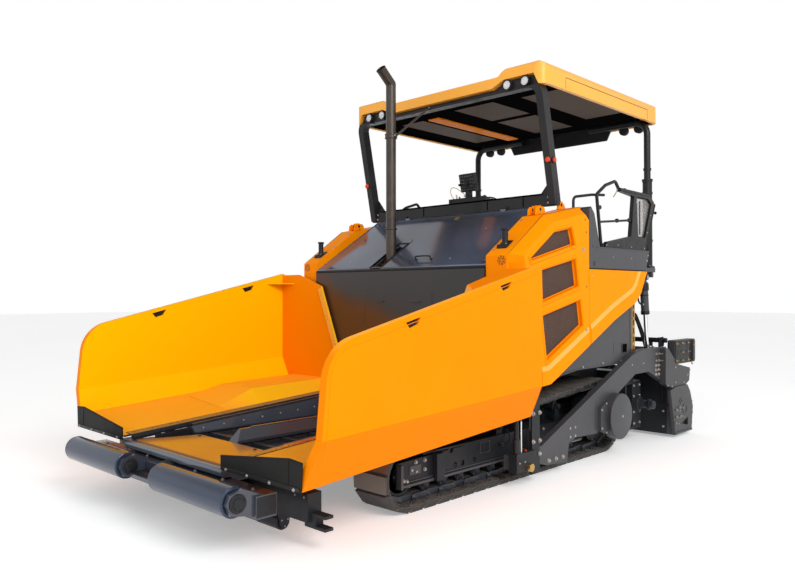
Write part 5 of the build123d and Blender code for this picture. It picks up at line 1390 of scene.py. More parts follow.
def makeLamps():
    radius = lampDetail["radius"]
    rims, lenses, leds, backs = newForms(4)
    z, face = lampDetail["frontZ"], 0.2047
    for x in lampDetail["frontX"]:
        addLathe(rims, (x, face + 0.04, z), toFront, [(0, radius + 0.002), (0.036, radius + 0.004),
            (0.047, radius + 0.003), (0.047, radius - 0.006), (0.04, radius - 0.008)], 40)
        addLathe(lenses, (x, face + 0.001, z), toFront, [(0, radius - 0.006),
            (0.004, radius - 0.008), (0.006, radius * 0.5), (0.0065, 0)], 40)
        for reach, count in ((0.0, 1), (0.016, 6), (0.031, 12)):
            for spot in circle(count, reach):
                addLathe(leds, (x + spot.x, face - 0.0055, z + spot.y), toFront,
                    mm(0, 5.2, 1.8, 4, 2, 0), 10)
        for turn in (60, 120):
            spot = around(math.radians(turn)) * 0.066
            addStud(backs, (x + spot.x, 0.2395, z + spot.y - 0.012), toFront, 0.006, 0.005, 8)
    z = lampDetail["rearZ"]
    for x in lampDetail["rearX"]:
        addLathe(rims, (x, 2.547, z), toRear, mm(-4, 20, -3, 46, 6, 51.5, 52, 52.5, 60, 51, 60, 44,
            58.5, 43), 40)
        addLathe(lenses, (x, 2.604, z), toRear, mm(0, 44, 2, 42, 4, 20, 4.5, 0), 40)
        for i in range(8):
            low = 2.552 + i * 0.005
            addLathe(rims, (x, low, z), toRear, mm(0, 52, 2.5, 53.5, 3, 52), 32)
    makePieces("machine", "both", ("lamp_rims", rims, "blackPlastic"),
        ("lamp_lenses", lenses, "lampGlass"), ("lamp_leds", leds, "greyPlastic"),
        ("lamp_screws", backs, "zincSteel"))
    # markers on the front posts: orange domes on black seats
    seat, dome = newForms(2)
    addLathe(seat, (1.2862, 0.395, 2.976), toSide, mm(0, 29, 10, 29, 12, 24), 28)
    addLathe(dome, (1.2975, 0.395, 2.976), toSide, mm(0, 24.5, 6, 25, 10, 24, 14.5, 18, 16.5,
        8, 17, 0), 28)
    # a second one on the post's front face
    addLathe(seat, (1.262, 0.3475, 2.976), toFront, mm(0, 31, 7, 31, 9, 26), 28)
    addLathe(dome, (1.262, 0.34, 2.976), toFront, mm(0, 27, 6, 27.5, 11, 26.2, 16.5, 20, 19, 9,
        19.5, 0), 28)
    makePieces("machine", "both", ("marker_seats", seat, "blackPlastic"),
        ("marker_domes", dome, "redPlastic"))


portalDetail = {"barZ": 2.66, "barFront": 0.452}


def makePortalTrim():
    plates, bolts = newForms(2)
    low, z = portalDetail["barFront"], portalDetail["barZ"]
    # angle edge along the bar's top, its stiffeners and the bolts at its ends
    addBlock(plates, span(0, 1.12), (low - 0.004, low + 0.006), (z - 0.004, z + 0.012))
    for x in (-0.9, -0.45, 0.45, 0.9):
        addBlock(plates, span(x, 0.006), (low - 0.003, low + 0.001), (2.56, 2.652))
    for x in (1.195, 1.245):
        for z2 in (2.575, 2.63):
            addBolt(bolts, (x, low - 0.001, z2), toFront, 0.01)
    makePieces("machine", "both", ("portal_edges", plates, "blackPaint", 0.001),
        ("portal_bolts", bolts, "zincSteel"))
    # clamps on the rear tubes and their sockets
    rings, studs = newForms(2)
    for z2, reach in ((3.01, 0.062), (2.86, 0.06), (2.3, 0.06), (3.14, 0.046)):
        addLathe(rings, (1.25, 2.49, z2 - 0.014), toTop,
            [(0, reach - 0.016), (0.001, reach), (0.027, reach), (0.028, reach - 0.016)], 36)
    addBlock(rings, (1.243, 1.257), (2.43, 2.452), (2.85, 3.02))
    for z2 in (2.88, 2.95, 3.0):
        addBolt(studs, (1.243, 2.44, z2), (-1, 0, 0), 0.008)
    for dx, dy in ((-0.062, -0.045), (-0.062, 0.045), (0.045, -0.045), (0.045, 0.045)):
        addBolt(studs, (1.25 + dx, 2.49 + dy, 2.0), toTop, 0.009)
    makePieces("machine", "both", ("rear_post_clamps", rings, "blackPaint"),
        ("rear_post_bolts", studs, "zincSteel"))


makeCanopyTrim()
makeLamps()
makePortalTrim()
print("canopy dressed")


deckDetail = {"top": 1.98, "treadStep": 0.085, "treadLength": 0.034, "treadWidth": 0.01,
    "treadHeight": 0.0022}


def makeDeckTrim():
    top, step = deckDetail["top"], deckDetail["treadStep"]
    tread, sill, bolts, dark = newForms(4)
    for i in range(28):
        for j in range(int((2.48 - 0.86) / step)):
            x, y = -1.15 + i * step, 0.88 + j * step
            addTread(tread, x, y, (i + j) % 2, deckDetail["treadLength"], deckDetail["treadWidth"],
                (top, top + deckDetail["treadHeight"]))
    # floor hatches between the seats and the console
    for x in (-0.9, 0.9):
        for y in (1.15, 1.75):
            addBlock(dark, span(x, 0.2), span(y, 0.002), (top, top + 0.003))
            for shift in (-0.17, 0.17):
                addStud(bolts, (x + shift, y + 0.03, top), toTop, 0.01, 0.004, 14)
    # side sill: drain hole, corner notch, folds and the joint line over the tail
    # the drain hole and the corner notch are flat dark patches: painted shade
    addLathe(dark, (bodySide, 0.79, 2.15), toSide, mm(0, 11, 0.8, 11, 1, 0), 20)
    addBlock(dark, (bodySide - 0.001, bodySide + 0.0011), (0.795, 0.832), (1.956, 2.002))
    sidePlate(dark, [(0.722, 1.93), (1.938, 1.93), (1.94, 1.937), (0.722, 1.937)], bodySide - 0.001,
        bodySide + 0.0008)
    sidePlate(sill, [(0.86, 2.138), (2.0, 2.138), (2.004, 2.15), (0.86, 2.15)], bodySide - 0.001,
        bodySide + 0.004)
    sidePlate(sill, [(0.8, 2.03), (0.816, 2.03), (0.902, 2.16), (0.886, 2.16)], bodySide - 0.001,
        bodySide + 0.001)
    for y, z in ((1.962, 2.04), (1.985, 2.1)):
        addBolt(bolts, (bodySide, y, z), toSide, 0.008)
    for y in (1.2, 1.6):
        addStud(bolts, (bodySide, y, 2.055), toSide, 0.008, 0.003)
    # bumper strip along the rear overhang and its bolts
    rear = 2.5605
    addBlock(sill, span(0, 1.3), (rear - 0.001, rear + 0.006), (1.936, 1.974))
    for x in (-1.2, -0.6, 0.0, 0.6, 1.2):
        addBolt(bolts, (x, rear + 0.006, 1.955), toRear, 0.01)
    makePiece("deck_tread", tread, "machine", "zincSteel")
    makePieces("machine", "both", ("deck_sill_folds", sill, "armPaint", 0.0015),
        ("deck_openings", dark, "blackPaint"), ("deck_bolts", bolts, "zincSteel"))


stationDetail = {"outer": 1.4405, "frame": [(1.86, 2.3), (2.03, 2.3), (2.19, 2.69), (2.11, 2.74),
    (1.83, 2.74)]}


def makeStationTrim():
    outer = stationDetail["outer"]
    seal, bolts, metal, knobs = newForms(4)
    addFrame(seal, stationDetail["frame"], 0.01, 1.409, 1.424)
    for spot in [(1.155, 2.182), (1.4, 2.19), (1.7, 2.182), (2.01, 2.182), (2.08, 2.36),
            (2.17, 2.56), (2.255, 2.7)]:
        addStud(bolts, (outer - 0.001, *spot), toSide, 0.009, 0.004)
    # folded edge of the lower board and the column
    sidePlate(metal, [(1.118, 2.156), (2.03, 2.156), (2.034, 2.166), (1.126, 2.166)], outer - 0.001,
        outer + 0.005)
    sidePlate(metal, [(2.036, 2.17), (2.048, 2.17), (2.286, 2.69), (2.274, 2.692)], outer - 0.046,
        outer + 0.004)
    addBlock(metal, (outer - 0.046, outer + 0.004), (1.4705, 2.13), (2.77, 2.776))
    # wiper rail and pull on the pane
    addBlock(metal, (1.423, 1.432), (1.92, 1.932), (2.33, 2.7))
    addLathe(knobs, (1.418, 2.262, 2.6), (0.15, 1, 0), mm(0, 6, 45, 6, 47, 16, 52, 18, 60,
        16, 62, 0), 20)
    # rail clamps, spring catch and the small stays
    for y, z in ((1.583, 2.79), (1.47, 2.785)):
        addBlock(metal, (1.398, 1.432), span(y, 0.018), (z - 0.012, z + 0.018))
    for y, z, reach in ((1.052, 2.561, 0.017), (1.425, 2.452, 0.014), (1.7, 2.475, 0.014)):
        addLathe(knobs, (1.415 - reach, y, z), toSide, [(0, 0.02), (0.004, 0.022),
            (2 * reach - 0.004, 0.022), (2 * reach, 0.019), (2 * reach, 0)], 20)
    for y, z in ((1.077, 2.166), (1.094, 2.166)):
        addBlock(metal, (1.392, 1.438), span(y, 0.004), (z - 0.012, z + 0.03))
    makePieces("machine", "both", ("station_window_seals", seal, "rubber"),
        ("station_bolts", bolts, "zincSteel"), ("station_folds", metal, "blackPaint", 0.001),
        ("station_knobs", knobs, "blackPlastic"))
    bothTubes("rail_stay", [(1.415, 1.445, 2.79), (1.41, 1.42, 2.74), (1.4, 1.38, 2.7)], 0.005,
        "machine", "brass")


consoleDetail = {"x": -0.36, "buttonStep": 0.034, "deskNormal": Vector((0, 0.298, 0.954))}


def deskPoint(x, share, lift=0.0):
    # share runs from the front edge of the desk to its rear edge
    y, z = 1.12 + 0.32 * share, 2.83 - 0.1 * share
    return Vector((x, y, z)) + consoleDetail["deskNormal"] * lift


def makeConsole():
    x, away = consoleDetail["x"], consoleDetail["deskNormal"]
    panels, buttons, knobs, metal, red, glass = newForms(6)
    for low, high in ((-0.265, -0.06), (-0.05, 0.12), (0.13, 0.265)):
        spots = ((low, 0.12), (high, 0.12), (high, 0.9), (low, 0.9))
        addPlate(panels, [deskPoint(x + shift, share) for shift, share in spots], away * 0.005)
    # push buttons in rows, with a lamp over each
    for row in range(3):
        for i in range(5):
            place = deskPoint(x - 0.235 + i * consoleDetail["buttonStep"], 0.25 + row * 0.22, 0.004)
            addLathe(buttons, place, away, mm(0, 11, 4, 11, 6, 9, 6, 0), 20)
            addLathe(metal, place + Vector((0, 0.022, -0.007)), away, mm(0, 3, 2, 2.5, 2.5, 0), 8)
    # two turning knobs, the stop button and the drive levers
    for shift in (-0.02, 0.045, 0.095):
        addLathe(knobs, deskPoint(x + shift, 0.28, 0.004), away,
            mm(0, 18, 4, 18, 6, 13, 20, 11, 22, 9, 22, 0), 28)
    addLathe(red, deskPoint(x + 0.2, 0.3, 0.004), away, mm(0, 13, 12, 13, 14, 21, 20, 21, 26,
        14, 28, 0), 32)
    for shift in (0.015, 0.08):
        base = deskPoint(x + shift, 0.66, 0.003)
        addLathe(knobs, base, away, mm(0, 26, 4, 25, 10, 17, 18, 8, 75, 6, 80, 13, 95, 16, 112,
            13, 117, 0), 28)
    # steering wheel on its hub, at the right of the desk
    hub = deskPoint(x + 0.195, 0.66, 0.004)
    addLathe(knobs, hub, away, mm(0, 30, 10, 28, 14, 14, 40, 12, 42, 22, 50, 20, 52, 0), 28)
    wheel = hub + away * 0.046

    def wheelSpoke(turn):
        return Vector((math.cos(turn), away.z * math.sin(turn), -away.y * math.sin(turn)))

    ring = [wheel + wheelSpoke(2 * math.pi * i / 28) * 0.062 for i in range(28)]
    rim = makeTube("console_wheel_rim", ring, 0.0085, "console", "blackPlastic")
    rim.data.splines[0].use_cyclic_u = True
    for i in range(3):
        addDisc(metal, wheel, wheelSpoke(2 * math.pi * (i / 3 + 0.25)), 0.004, 0.058, 8)
    # screen: bezel and glass to the operator, a back with rows of holes and its mount
    along, out = Vector((0, -0.05, 0.21)).normalized(), Vector((0, 0.9728, 0.2316))
    middle = Vector((x - 0.04, 1.175, 3.015))
    face = middle + out * 0.0622

    def screenPlate(bm, low, high, one, two, thick):
        corners = ((low, one), (high, one), (high, two), (low, two))
        addPlate(bm, [face + Vector((shift, 0, 0)) + along * rise for shift, rise in corners],
            out * thick)

    for bar in ((-0.11, -0.092, -0.108, 0.108), (0.092, 0.11, -0.108, 0.108),
            (-0.11, 0.11, -0.108, -0.086), (-0.11, 0.11, 0.09, 0.108)):
        screenPlate(panels, *bar, 0.006)
    screenPlate(glass, -0.092, 0.092, -0.086, 0.09, 0.002)
    for i in range(6):
        for j in range(5):
            if i not in (2, 3) or j not in (1, 2, 3):
                place = middle + Vector((-0.085 + i * 0.034, 0, 0)) + along * (-0.08 + j * 0.04)
                addLathe(metal, place + out * 0.0002, -out, mm(0, 5, 1.5, 4.5, 1.8, 0), 10)
    addLathe(knobs, middle + out * 0.0002 - along * 0.01, -out,
        mm(0, 30, 10, 30, 14, 20, 20, 20, 22, 0), 28)
    for low, high in ((x - 0.155, x - 0.137), (x + 0.057, x + 0.078)):
        addBlock(knobs, (low, high), (1.15, 1.235), (2.985, 3.01))
    # clamps and stack of joints under the screen
    addLathe(knobs, (x - 0.04, 1.214, 2.832), toTop, mm(0, 52, 12, 52, 16, 42, 40, 42, 44,
        35, 68, 35), 28)
    addLathe(metal, (x - 0.075, 1.2, 2.865), (-1, 0, 0), mm(0, 10, 20, 10, 22, 7, 34, 7, 35, 0), 16)
    addLathe(red, (x - 0.14, 1.165, 2.832), (-0.3, -0.4, 1), mm(0, 10, 25, 10, 30, 0), 16)
    addLathe(metal, (x - 0.18, 1.155, 2.832), (-0.2, 0, 1), mm(0, 8, 50, 8, 52, 0), 16)
    # front box of the desk, screwed panels on the stand
    addBlock(panels, span(x, 0.26), (1.122, 1.3), (2.752, 2.775))
    addBlock(panels, span(x, 0.095), (1.329, 1.335), (2.06, 2.64))
    for dx in (-0.085, 0.085):
        for z in (2.08, 2.62):
            for y, way in ((1.3345, 1), (1.2095, -1)):
                addStud(metal, (x + dx, y, z), (0, way, 0), 0.006, 0.004, 10)
    for dx in (-0.13, 0.13):
        for y in (1.215, 1.345):
            addBolt(metal, (x + dx, y, 2.0203), toTop, 0.01)
    makePieces("console", "one", ("console_panels", panels, "blackPlastic", 0.0015),
        ("console_buttons", buttons, "greyPlastic"), ("console_knobs", knobs, "blackPlastic"),
        ("console_metal", metal, "zincSteel"), ("console_stop", red, "redPlastic"),
        ("console_screen", glass, "screenGlass"))
    makeTube("console_wire", [(x - 0.17, 1.16, 2.8), (x - 0.24, 1.14, 2.83), (x - 0.29, 1.13, 2.96),
        (x - 0.2, 1.13, 2.99), (x - 0.1, 1.17, 2.9), (x - 0.06, 1.2, 2.86)], 0.004,
        "console", "brass")
    makeTube("console_harness", [(x - 0.02, 1.165, 2.94), (x + 0.03, 1.13, 2.9),
        (x + 0.05, 1.16, 2.84), (x + 0.04, 1.19, 2.82)], 0.006, "console", "rubber")


def applyAll(piece):
    shape = piece.evaluated_get(bpy.context.evaluated_depsgraph_get())
    mesh = bpy.data.meshes.new_from_object(shape)
    piece.modifiers.clear()
    piece.data = mesh


seatDetail = {"x": 0.4, "round": 0.034, "voxel": 0.01, "pressure": 4.0, "swell": 0.014,
    "channelDepth": 0.007, "channelWidth": 0.009, "pan": (0.43, 0.42, 0.08),
    "panPlace": (1.945, 2.362), "panLean": 4.0, "back": (0.41, 0.35, 0.07),
    "backPlace": (2.185, 2.545), "backLean": 76.0}


def makeCushion(name, size, place, lean, channels):
    # a stuffed form swollen by cloth pressure, with the sewn channels pressed in afterwards
    bm = bmesh.new()
    bmesh.ops.create_cube(bm, size=1.0)
    bmesh.ops.scale(bm, vec=size, verts=bm.verts)
    bmesh.ops.bevel(bm, geom=bm.edges[:], offset=seatDetail["round"], segments=4, profile=0.6,
        affect="EDGES")
    mesh = bpy.data.meshes.new(name)
    bm.to_mesh(mesh)
    bm.free()
    piece = newObject(name, mesh)
    remesh = piece.modifiers.new("even", "REMESH")
    remesh.mode = "VOXEL"
    remesh.voxel_size = seatDetail["voxel"]
    applyAll(piece)
    start = [vert.co.copy() for vert in piece.data.vertices]
    cloth = piece.modifiers.new("cloth", "CLOTH")
    cloth.settings.use_pressure = True
    cloth.settings.uniform_pressure_force = seatDetail["pressure"]
    cloth.settings.effector_weights.gravity = 0.0
    for step in range(1, 21):
        bpy.context.scene.frame_set(step)
    applyAll(piece)
    bpy.context.scene.frame_set(1)
    for vert, first in zip(piece.data.vertices, start):
        shift = vert.co - first
        if shift.length > seatDetail["swell"]:
            vert.co = first + shift.normalized() * seatDetail["swell"]
        if first.z < -size[2] * 0.4:
            vert.co.z = max(vert.co.z, -size[2] / 2)
    smooth = piece.modifiers.new("smooth", "SUBSURF")
    smooth.levels = smooth.render_levels = 1
    applyAll(piece)
    for vert in piece.data.vertices:
        if vert.co.z > 0:
            for line in channels:
                away = (vert.co.y - line * size[1]) / seatDetail["channelWidth"]
                vert.co.z -= seatDetail["channelDepth"] * math.exp(-away * away)
            away = (abs(vert.co.x) - size[0] * 0.33) / seatDetail["channelWidth"]
            vert.co.z -= seatDetail["channelDepth"] * math.exp(-away * away)
    turn = Matrix.Rotation(math.radians(lean), 4, "X")
    piece.data.transform(Matrix.Translation((seatDetail["x"], *place)) @ turn)
    piece.data.shade_smooth()
    piece.data.materials.append(finishes["seatVinyl"])
    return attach(piece, "machine")


def makeSeats():
    x = seatDetail["x"]
    cushions = [makeCushion("seat_pan_left", seatDetail["pan"], seatDetail["panPlace"],
        seatDetail["panLean"], (-0.22, 0.08)), makeCushion("seat_back_left", seatDetail["back"],
        seatDetail["backPlace"], seatDetail["backLean"], (-0.2, 0.14))]
    for piece in list(cushions):
        other = newObject(piece.name.replace("left", "right"), piece.data.copy())
        other.data.transform(Matrix.Translation((-2 * x, 0, 0)))
        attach(other, "machine")
        cushions.append(other)
    shell, frameParts, bellows, pads, belts = newForms(5)
    # pan and back shells with folded rims
    sidePlate(shell, [(1.735, 2.288), (2.15, 2.318), (2.15, 2.306), (1.74, 2.276)],
        x - 0.225, x + 0.225)
    sidePlate(shell, [(1.728, 2.3), (1.742, 2.276), (1.735, 2.272), (1.72, 2.3)],
        x - 0.225, x + 0.225)
    sidePlate(shell, [(2.205, 2.36), (2.222, 2.36), (2.295, 2.706), (2.278, 2.712), (2.27, 2.7)],
        x - 0.215, x + 0.215)
    for low in (x - 0.232, x + 0.22):
        sidePlate(shell, [(1.73, 2.27), (2.16, 2.3), (2.225, 2.36), (2.24, 2.43), (2.205, 2.44),
            (2.18, 2.37), (2.12, 2.33), (1.73, 2.3)], low, low + 0.012)
    # slide rails, adjuster, base plates
    for low in (x - 0.17, x + 0.13):
        addBlock(frameParts, (low, low + 0.04), (1.76, 2.12), (2.24, 2.262))
    addBlock(frameParts, span(x, 0.19), (1.765, 2.095), (2.218, 2.242))
    addBlock(frameParts, span(x, 0.19), (1.765, 2.095), (1.981, 2.0))
    for y in (1.79, 2.07):
        for dx in (-0.165, 0.165):
            addBolt(frameParts, (x + dx, y, 2.0), toTop, 0.01)
    # rubber bellows around the spring
    for i in range(6):
        low = 2.0 + i * 0.0365
        outer, inner = 0.172, 0.15
        points = [(low, inner), (low + 0.018, outer), (low + 0.0365, inner)]
        for (z1, r1), (z2, r2) in zip(points, points[1:]):
            one, two = [[bellows.verts.new((x + dx * reach, 1.93 + dy * (reach - 0.02), z))
                for dx, dy in ((-1, -1), (1, -1), (1, 1), (-1, 1))]
                for z, reach in ((z1, r1), (z2, r2))]
            for k in range(4):
                bellows.faces.new((one[k], one[k - 3], two[k - 3], two[k]))
    # armrest on the outer side with its pad
    addBlock(frameParts, (x + 0.236, x + 0.252), (2.02, 2.07), (2.3, 2.5))
    addBlock(pads, (x + 0.238, x + 0.288), (1.845, 2.17), (2.48, 2.515))
    # lap belt over the pan, buckle
    sidePlate(belts, [(1.99, 2.415), (2.035, 2.418), (2.035, 2.421), (1.99, 2.418)],
        x - 0.19, x + 0.19)
    addBlock(frameParts, span(x, 0.03), (1.985, 2.04), (2.418, 2.432))
    makePieces("machine", "both", ("seat_shells", shell, "blackPlastic", 0.003),
        ("seat_frames", frameParts, "blackPaint", 0.0015),
        ("seat_bellows", bellows, "rubber", 0.003), ("seat_belts", belts, "blackPlastic"))
    armrests = makePiece("seat_armrests", pads, "machine", "seatVinyl", "both", 0.012)
    for piece in cushions:
        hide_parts("seats")


makeDeckTrim()
makeStationTrim()
makeConsole()
makeSeats()
print("platform dressed")


guideDetail = {"face": 1.452, "jawFace": 1.4905, "rows": (0.615, 0.365, 0.246),
    "columns": (-0.21, -0.107), "headSize": 0.017}


def makeTowPointTrim():
    face = guideDetail["face"]
    head = guideDetail["headSize"]
    bolts, edges, jaws, sleeves, rollers, buttons, gauges, caps = newForms(8)
    for z in guideDetail["rows"]:
        for y in guideDetail["columns"]:
            addWasherBolt(bolts, (face, y, z), head + 0.004, 0.002, head * 0.85)
    # folded edge of the guide
    addBlock(edges, (face - 0.001, face + 0.003), (-0.268, -0.262), (0.475, 0.79))
    # side strips, lock plate and round cap of the sliding block
    outer = guideDetail["jawFace"]
    for z in (0.15, 0.29):
        addBlock(jaws, (outer, outer + 0.005), (-0.522, -0.27), (z, z + 0.012))
    addBlock(jaws, (outer, outer + 0.006), (-0.5, -0.4), (0.205, 0.25))
    for y in (-0.49, -0.41):
        addBolt(bolts, (outer + 0.006, y, 0.2275), toSide, 0.009)
    addLathe(jaws, (outer, -0.45, 0.185), toSide, mm(0, 26, 6, 26, 8, 20, 8, 0), 28)
    # brass roller, then the screw, sleeve, button and collar on top of the block
    addLathe(rollers, (1.4995, -0.346, 0.171), toSide, mm(0, 35.5, 20, 35.8, 32.5, 35.8, 34.5, 31,
        34.5, 16, 33, 14, 33, 0), 36)
    addLathe(rollers, (1.46, -0.41, 0.307), toTop, mm(0, 10, 6, 10, 8, 6, 300, 6, 302, 9, 312,
        9, 314, 0), 16)
    addLathe(sleeves, (1.46, -0.48, 0.306), toTop, mm(0, 24, 1, 30, 120, 30, 123, 24), 36)
    addLathe(buttons, (1.462, -0.345, 0.3065), toTop, mm(0, 9, 8, 9, 12, 7, 13, 0), 20)
    addLathe(jaws, (1.46, -0.48, 0.306), toTop, mm(0, 33, 10, 33, 14, 31, 14, 0), 32)
    addLathe(gauges, (1.47, -0.425, 0.307), toTop, mm(0, 8, 270, 8, 272, 0), 20)
    # gland, ports and band of the levelling cylinder
    for z, reach in ((0.592, 0.047), (1.092, 0.046), (0.86, 0.043)):
        addLathe(caps, (1.46, -0.48, z), toTop, [(0, 0.039), (0.002, reach), (0.04, reach),
            (0.043, 0.039)], 36)
    for z in (0.66, 1.07):
        addLathe(caps, (1.46, -0.516, z), toFront, mm(0, 14, 10, 14, 12, 11, 30, 11), 6)
    makePiece("guide_bolts", bolts, "machine", "zincSteel", "both")
    makePieces("tow_slides", "both", ("slide_jaws", jaws, "framePaint"),
        ("slide_sleeves", sleeves, "blackPaint"), ("slide_rollers", rollers, "brass"),
        ("slide_caps", buttons, "redPlastic"), ("slide_gauges", gauges, "chrome"))
    makePieces("machine", "both", ("guide_edges", edges, "armPaint", 0.001),
        ("levelling_caps", caps, "blackPaint", 0.001))


armDetail = {"face": 1.4103, "hex": 0.015}


def makeArmTrim():
    face = armDetail["face"]
    heads, dots, seams, cover = newForms(4)
    # four bolts by the link, three along the foot, six at the screed and the pairs above them
    for y in (0.486, 0.577):
        for z in (0.305, 0.387):
            addStud(heads, (face - 0.001, y, z), toSide, 0.014, 0.005, 16)
    for y, z in ((0.108, 0.14), (0.229, 0.14), (0.347, 0.14)):
        addWasherBolt(heads, (face, y, z), 0.021, 0.001, armDetail["hex"])
    for y in (2.345, 2.42):
        for z in (0.858, 0.808, 0.756):
            addWasherBolt(heads, (face, y, z), 0.021, 0.001, armDetail["hex"])
        for z in (0.99, 0.912):
            addLathe(heads, (face - 0.001, y + 0.012, z), toSide,
                mm(0, 7.5, 45, 7.5, 47, 5, 47, 0), 14)
            addBolt(heads, (face - 0.001, y + 0.012, z), toSide, 0.012)
    for y in (1.77, 2.04):
        addStud(dots, (face - 0.001, y, 0.905), toSide, 0.01, 0.003, 14)
    # weld seams along the arm's top fold
    top = [(-0.013, 0.292), (1.755, 1.003), (2.0, 1.057), (2.43, 1.052)]
    for one, two in zip(top, top[1:]):
        addDisc(seams, (face - 0.002, *one), (0, two[0] - one[0], two[1] - one[1]), 0.004,
            (Vector(two) - Vector(one)).length, 8)
    # round cover: rim and middle cap, and the screws of the plate before it
    y0, z0 = 1.34, 0.41
    addLathe(cover, (1.4997, y0, z0), toSide, mm(0, 234, 4, 231, 6, 222, 6, 0), 72)
    addStud(dots, (1.5045, y0 + 0.02, z0), toSide, 0.013, 0.005, 20)
    for y, z in ((1.03, 0.32), (1.03, 0.505), (1.125, 0.265), (1.125, 0.56)):
        addBolt(dots, (1.4495, y, z), toSide, 0.009)
    # collars of the cross bar
    for low in (1.262, 1.375):
        addLathe(heads, (low, 2.56, 1.02), toSide, mm(0, 33, 2, 45, 12, 45, 14, 33), 32)
    makePieces("screed_arms", "both", ("arm_bolts", heads, "zincSteel"),
        ("arm_dots", dots, "zincSteel"), ("arm_welds", seams, "armPaint"),
        ("arm_covers", cover, "armPaint", 0.0015))


def makeLiftTrim():
    # bands, ports and pins, set along the cylinder's own axis
    low, high = Vector((1.25, 2.465, 1.035)), Vector((1.25, 2.375, 1.87))
    way = (low - high).normalized()
    rings, ports, pins = newForms(3)
    for reach, tall, radius in ((0.07, 0.085, 0.056), (0.392, 0.04, 0.05), (0.2, 0.016, 0.0485)):
        addLathe(rings, high + way * reach, way, [(0, 0.045), (0.002, radius),
            (tall - 0.002, radius), (tall, 0.045), (0, 0.045)], 40)
    side = (Vector((0, 1, 0)) - way * way.y).normalized()
    for reach in (0.045, 0.31):
        addLathe(ports, high + way * reach - side * 0.04, -side,
            mm(0, 16, 10, 16, 12, 11, 24, 11), 6)
    for x in (1.19, 1.302):
        addLathe(pins, (x - 0.004, high.y, high.z), toSide, mm(0, 25, 10, 25, 12, 18))
    makePieces("lift_barrels", "both", ("lift_rings", rings, "blackPaint", 0.001),
        ("lift_ports", ports, "zincSteel"))
    makePiece("lift_pins", pins, "machine", "zincSteel", "both")
    # one from the deck to the upper port, one down the barrel to the lower port
    bothTubes("lift_hose_0", [(1.192, 2.335, 1.917), (1.19, 2.315, 1.885), (1.2, 2.292, 1.845),
        (1.232, 2.287, 1.818), (1.25, 2.3, 1.817), (1.25, 2.318, 1.818)], 0.01,
        "lift_barrels", "rubber")
    bothTubes("lift_hose_1", [(1.218, 2.34, 1.917), (1.2, 2.342, 1.8), (1.194, 2.35, 1.66),
        (1.206, 2.335, 1.585), (1.238, 2.327, 1.556), (1.25, 2.346, 1.556)], 0.01,
        "lift_barrels", "rubber")
    # a standing loop of hose from the screed's cross bar
    bothTubes("screed_hose_loop", [(1.18, 2.565, 1.04), (1.162, 2.525, 1.17), (1.145, 2.455, 1.32),
        (1.132, 2.4, 1.41), (1.128, 2.395, 1.445), (1.131, 2.425, 1.44), (1.142, 2.49, 1.33),
        (1.158, 2.58, 1.18), (1.168, 2.625, 1.08)], 0.0145, "screed_arms", "rubber")
    # dark pipe between the two arms, on plates behind the cross bar
    pipe = bmesh.new()
    addLathe(pipe, (0, 2.66, 1.13), toSide, mm(0, 29, 1300, 29, 1301, 34, 1330, 34, 1331, 29,
        1398, 29), 28)
    sidePlate(pipe, [(2.56, 1.035), (2.69, 1.06), (2.7, 1.12), (2.672, 1.172), (2.64, 1.168),
        (2.56, 1.1)], 1.34, 1.352)
    addBlock(pipe, (1.165, 1.235), (2.6, 2.645), (1.06, 1.112))
    makePiece("screed_cross_pipe", pipe, "screed_arms", "framePaint", "both")


makeTowPointTrim()
makeArmTrim()
makeLiftTrim()
print("arms dressed")


screedDetail = {"half": 1.47, "outer": 1.5, "boxFace": 1.48, "ribs": 9}


def makeScreedTrim():
    half, outer = screedDetail["half"], screedDetail["outer"]
    studs, plates, dark, edges = newForms(4)
    # end plate: column of adjusting bolts, pins and rearward studs
    for y, z in ((2.688, 0.318), (2.687, 0.24), (2.668, 0.17), (2.772, 0.342), (2.806, 0.235)):
        addLathe(studs, (outer - 0.002, y, z), toSide, mm(0, 13, 4, 13, 5, 8, 46, 8, 48, 0), 16)
        addBolt(studs, (outer + 0.006, y, z), toSide, 0.014)
    for y, z in ((3.03, 0.48), (3.12, 0.376), (3.13, 0.239), (3.105, 0.122)):
        addLathe(studs, (1.484, y, z), toRear, mm(0, 9, 50, 9, 52, 6, 52, 0), 14)
        addBolt(studs, (1.484, y + 0.022, z), toRear, 0.014)
    # rims of the two round holes and of the three-sided one
    for y, z, reach in ((2.924, 0.313, 0.05), (2.819, 0.415, 0.025)):
        addLathe(plates, (half, y, z), toSide, [(0.001, reach - 0.006), (0.034, reach - 0.006),
            (0.036, reach), (0.036, reach + 0.01), (0.03, reach + 0.012)], 36)
    triangle = [(2.789, 0.147), (3.02, 0.214), (3.018, 0.102)]
    addFrame(edges, triangle, 0.007, outer - 0.02, outer + 0.002)
    sidePlate(edges, [(2.524, 0.555), (2.64, 0.06), (2.65, 0.06), (2.536, 0.55)], outer - 0.002,
        outer + 0.006)
    for y, z in ((2.62, 0.54), (2.78, 0.56), (2.96, 0.56), (2.86, 0.5), (3.06, 0.44), (2.95, 0.42)):
        addLathe(dark, (outer - 0.001, y, z), toSide, mm(0, 8, 1.2, 8, 1.4, 0), 14)
    # dark backs of the three openings: painted shade of the unlit space behind them
    for y, z, reach in ((2.924, 0.313, 0.048), (2.819, 0.415, 0.024)):
        addDisc(dark, (1.47, y, z), toSide, reach, 0.0006, 32)
    sidePlate(dark, triangle, 1.47, 1.4706)
    # sliding shoe at the foot of the end plate
    addBlock(edges, (outer - 0.002, outer + 0.01), (2.645, 3.112), (0.037, 0.06))
    makePieces("screed_arms", "both", ("end_plate_studs", studs, "zincSteel"),
        ("end_plate_bushes", plates, "armPaint"), ("end_plate_holes", dark, "blackPaint"),
        ("end_plate_edges", edges, "armPaint", 0.0015))


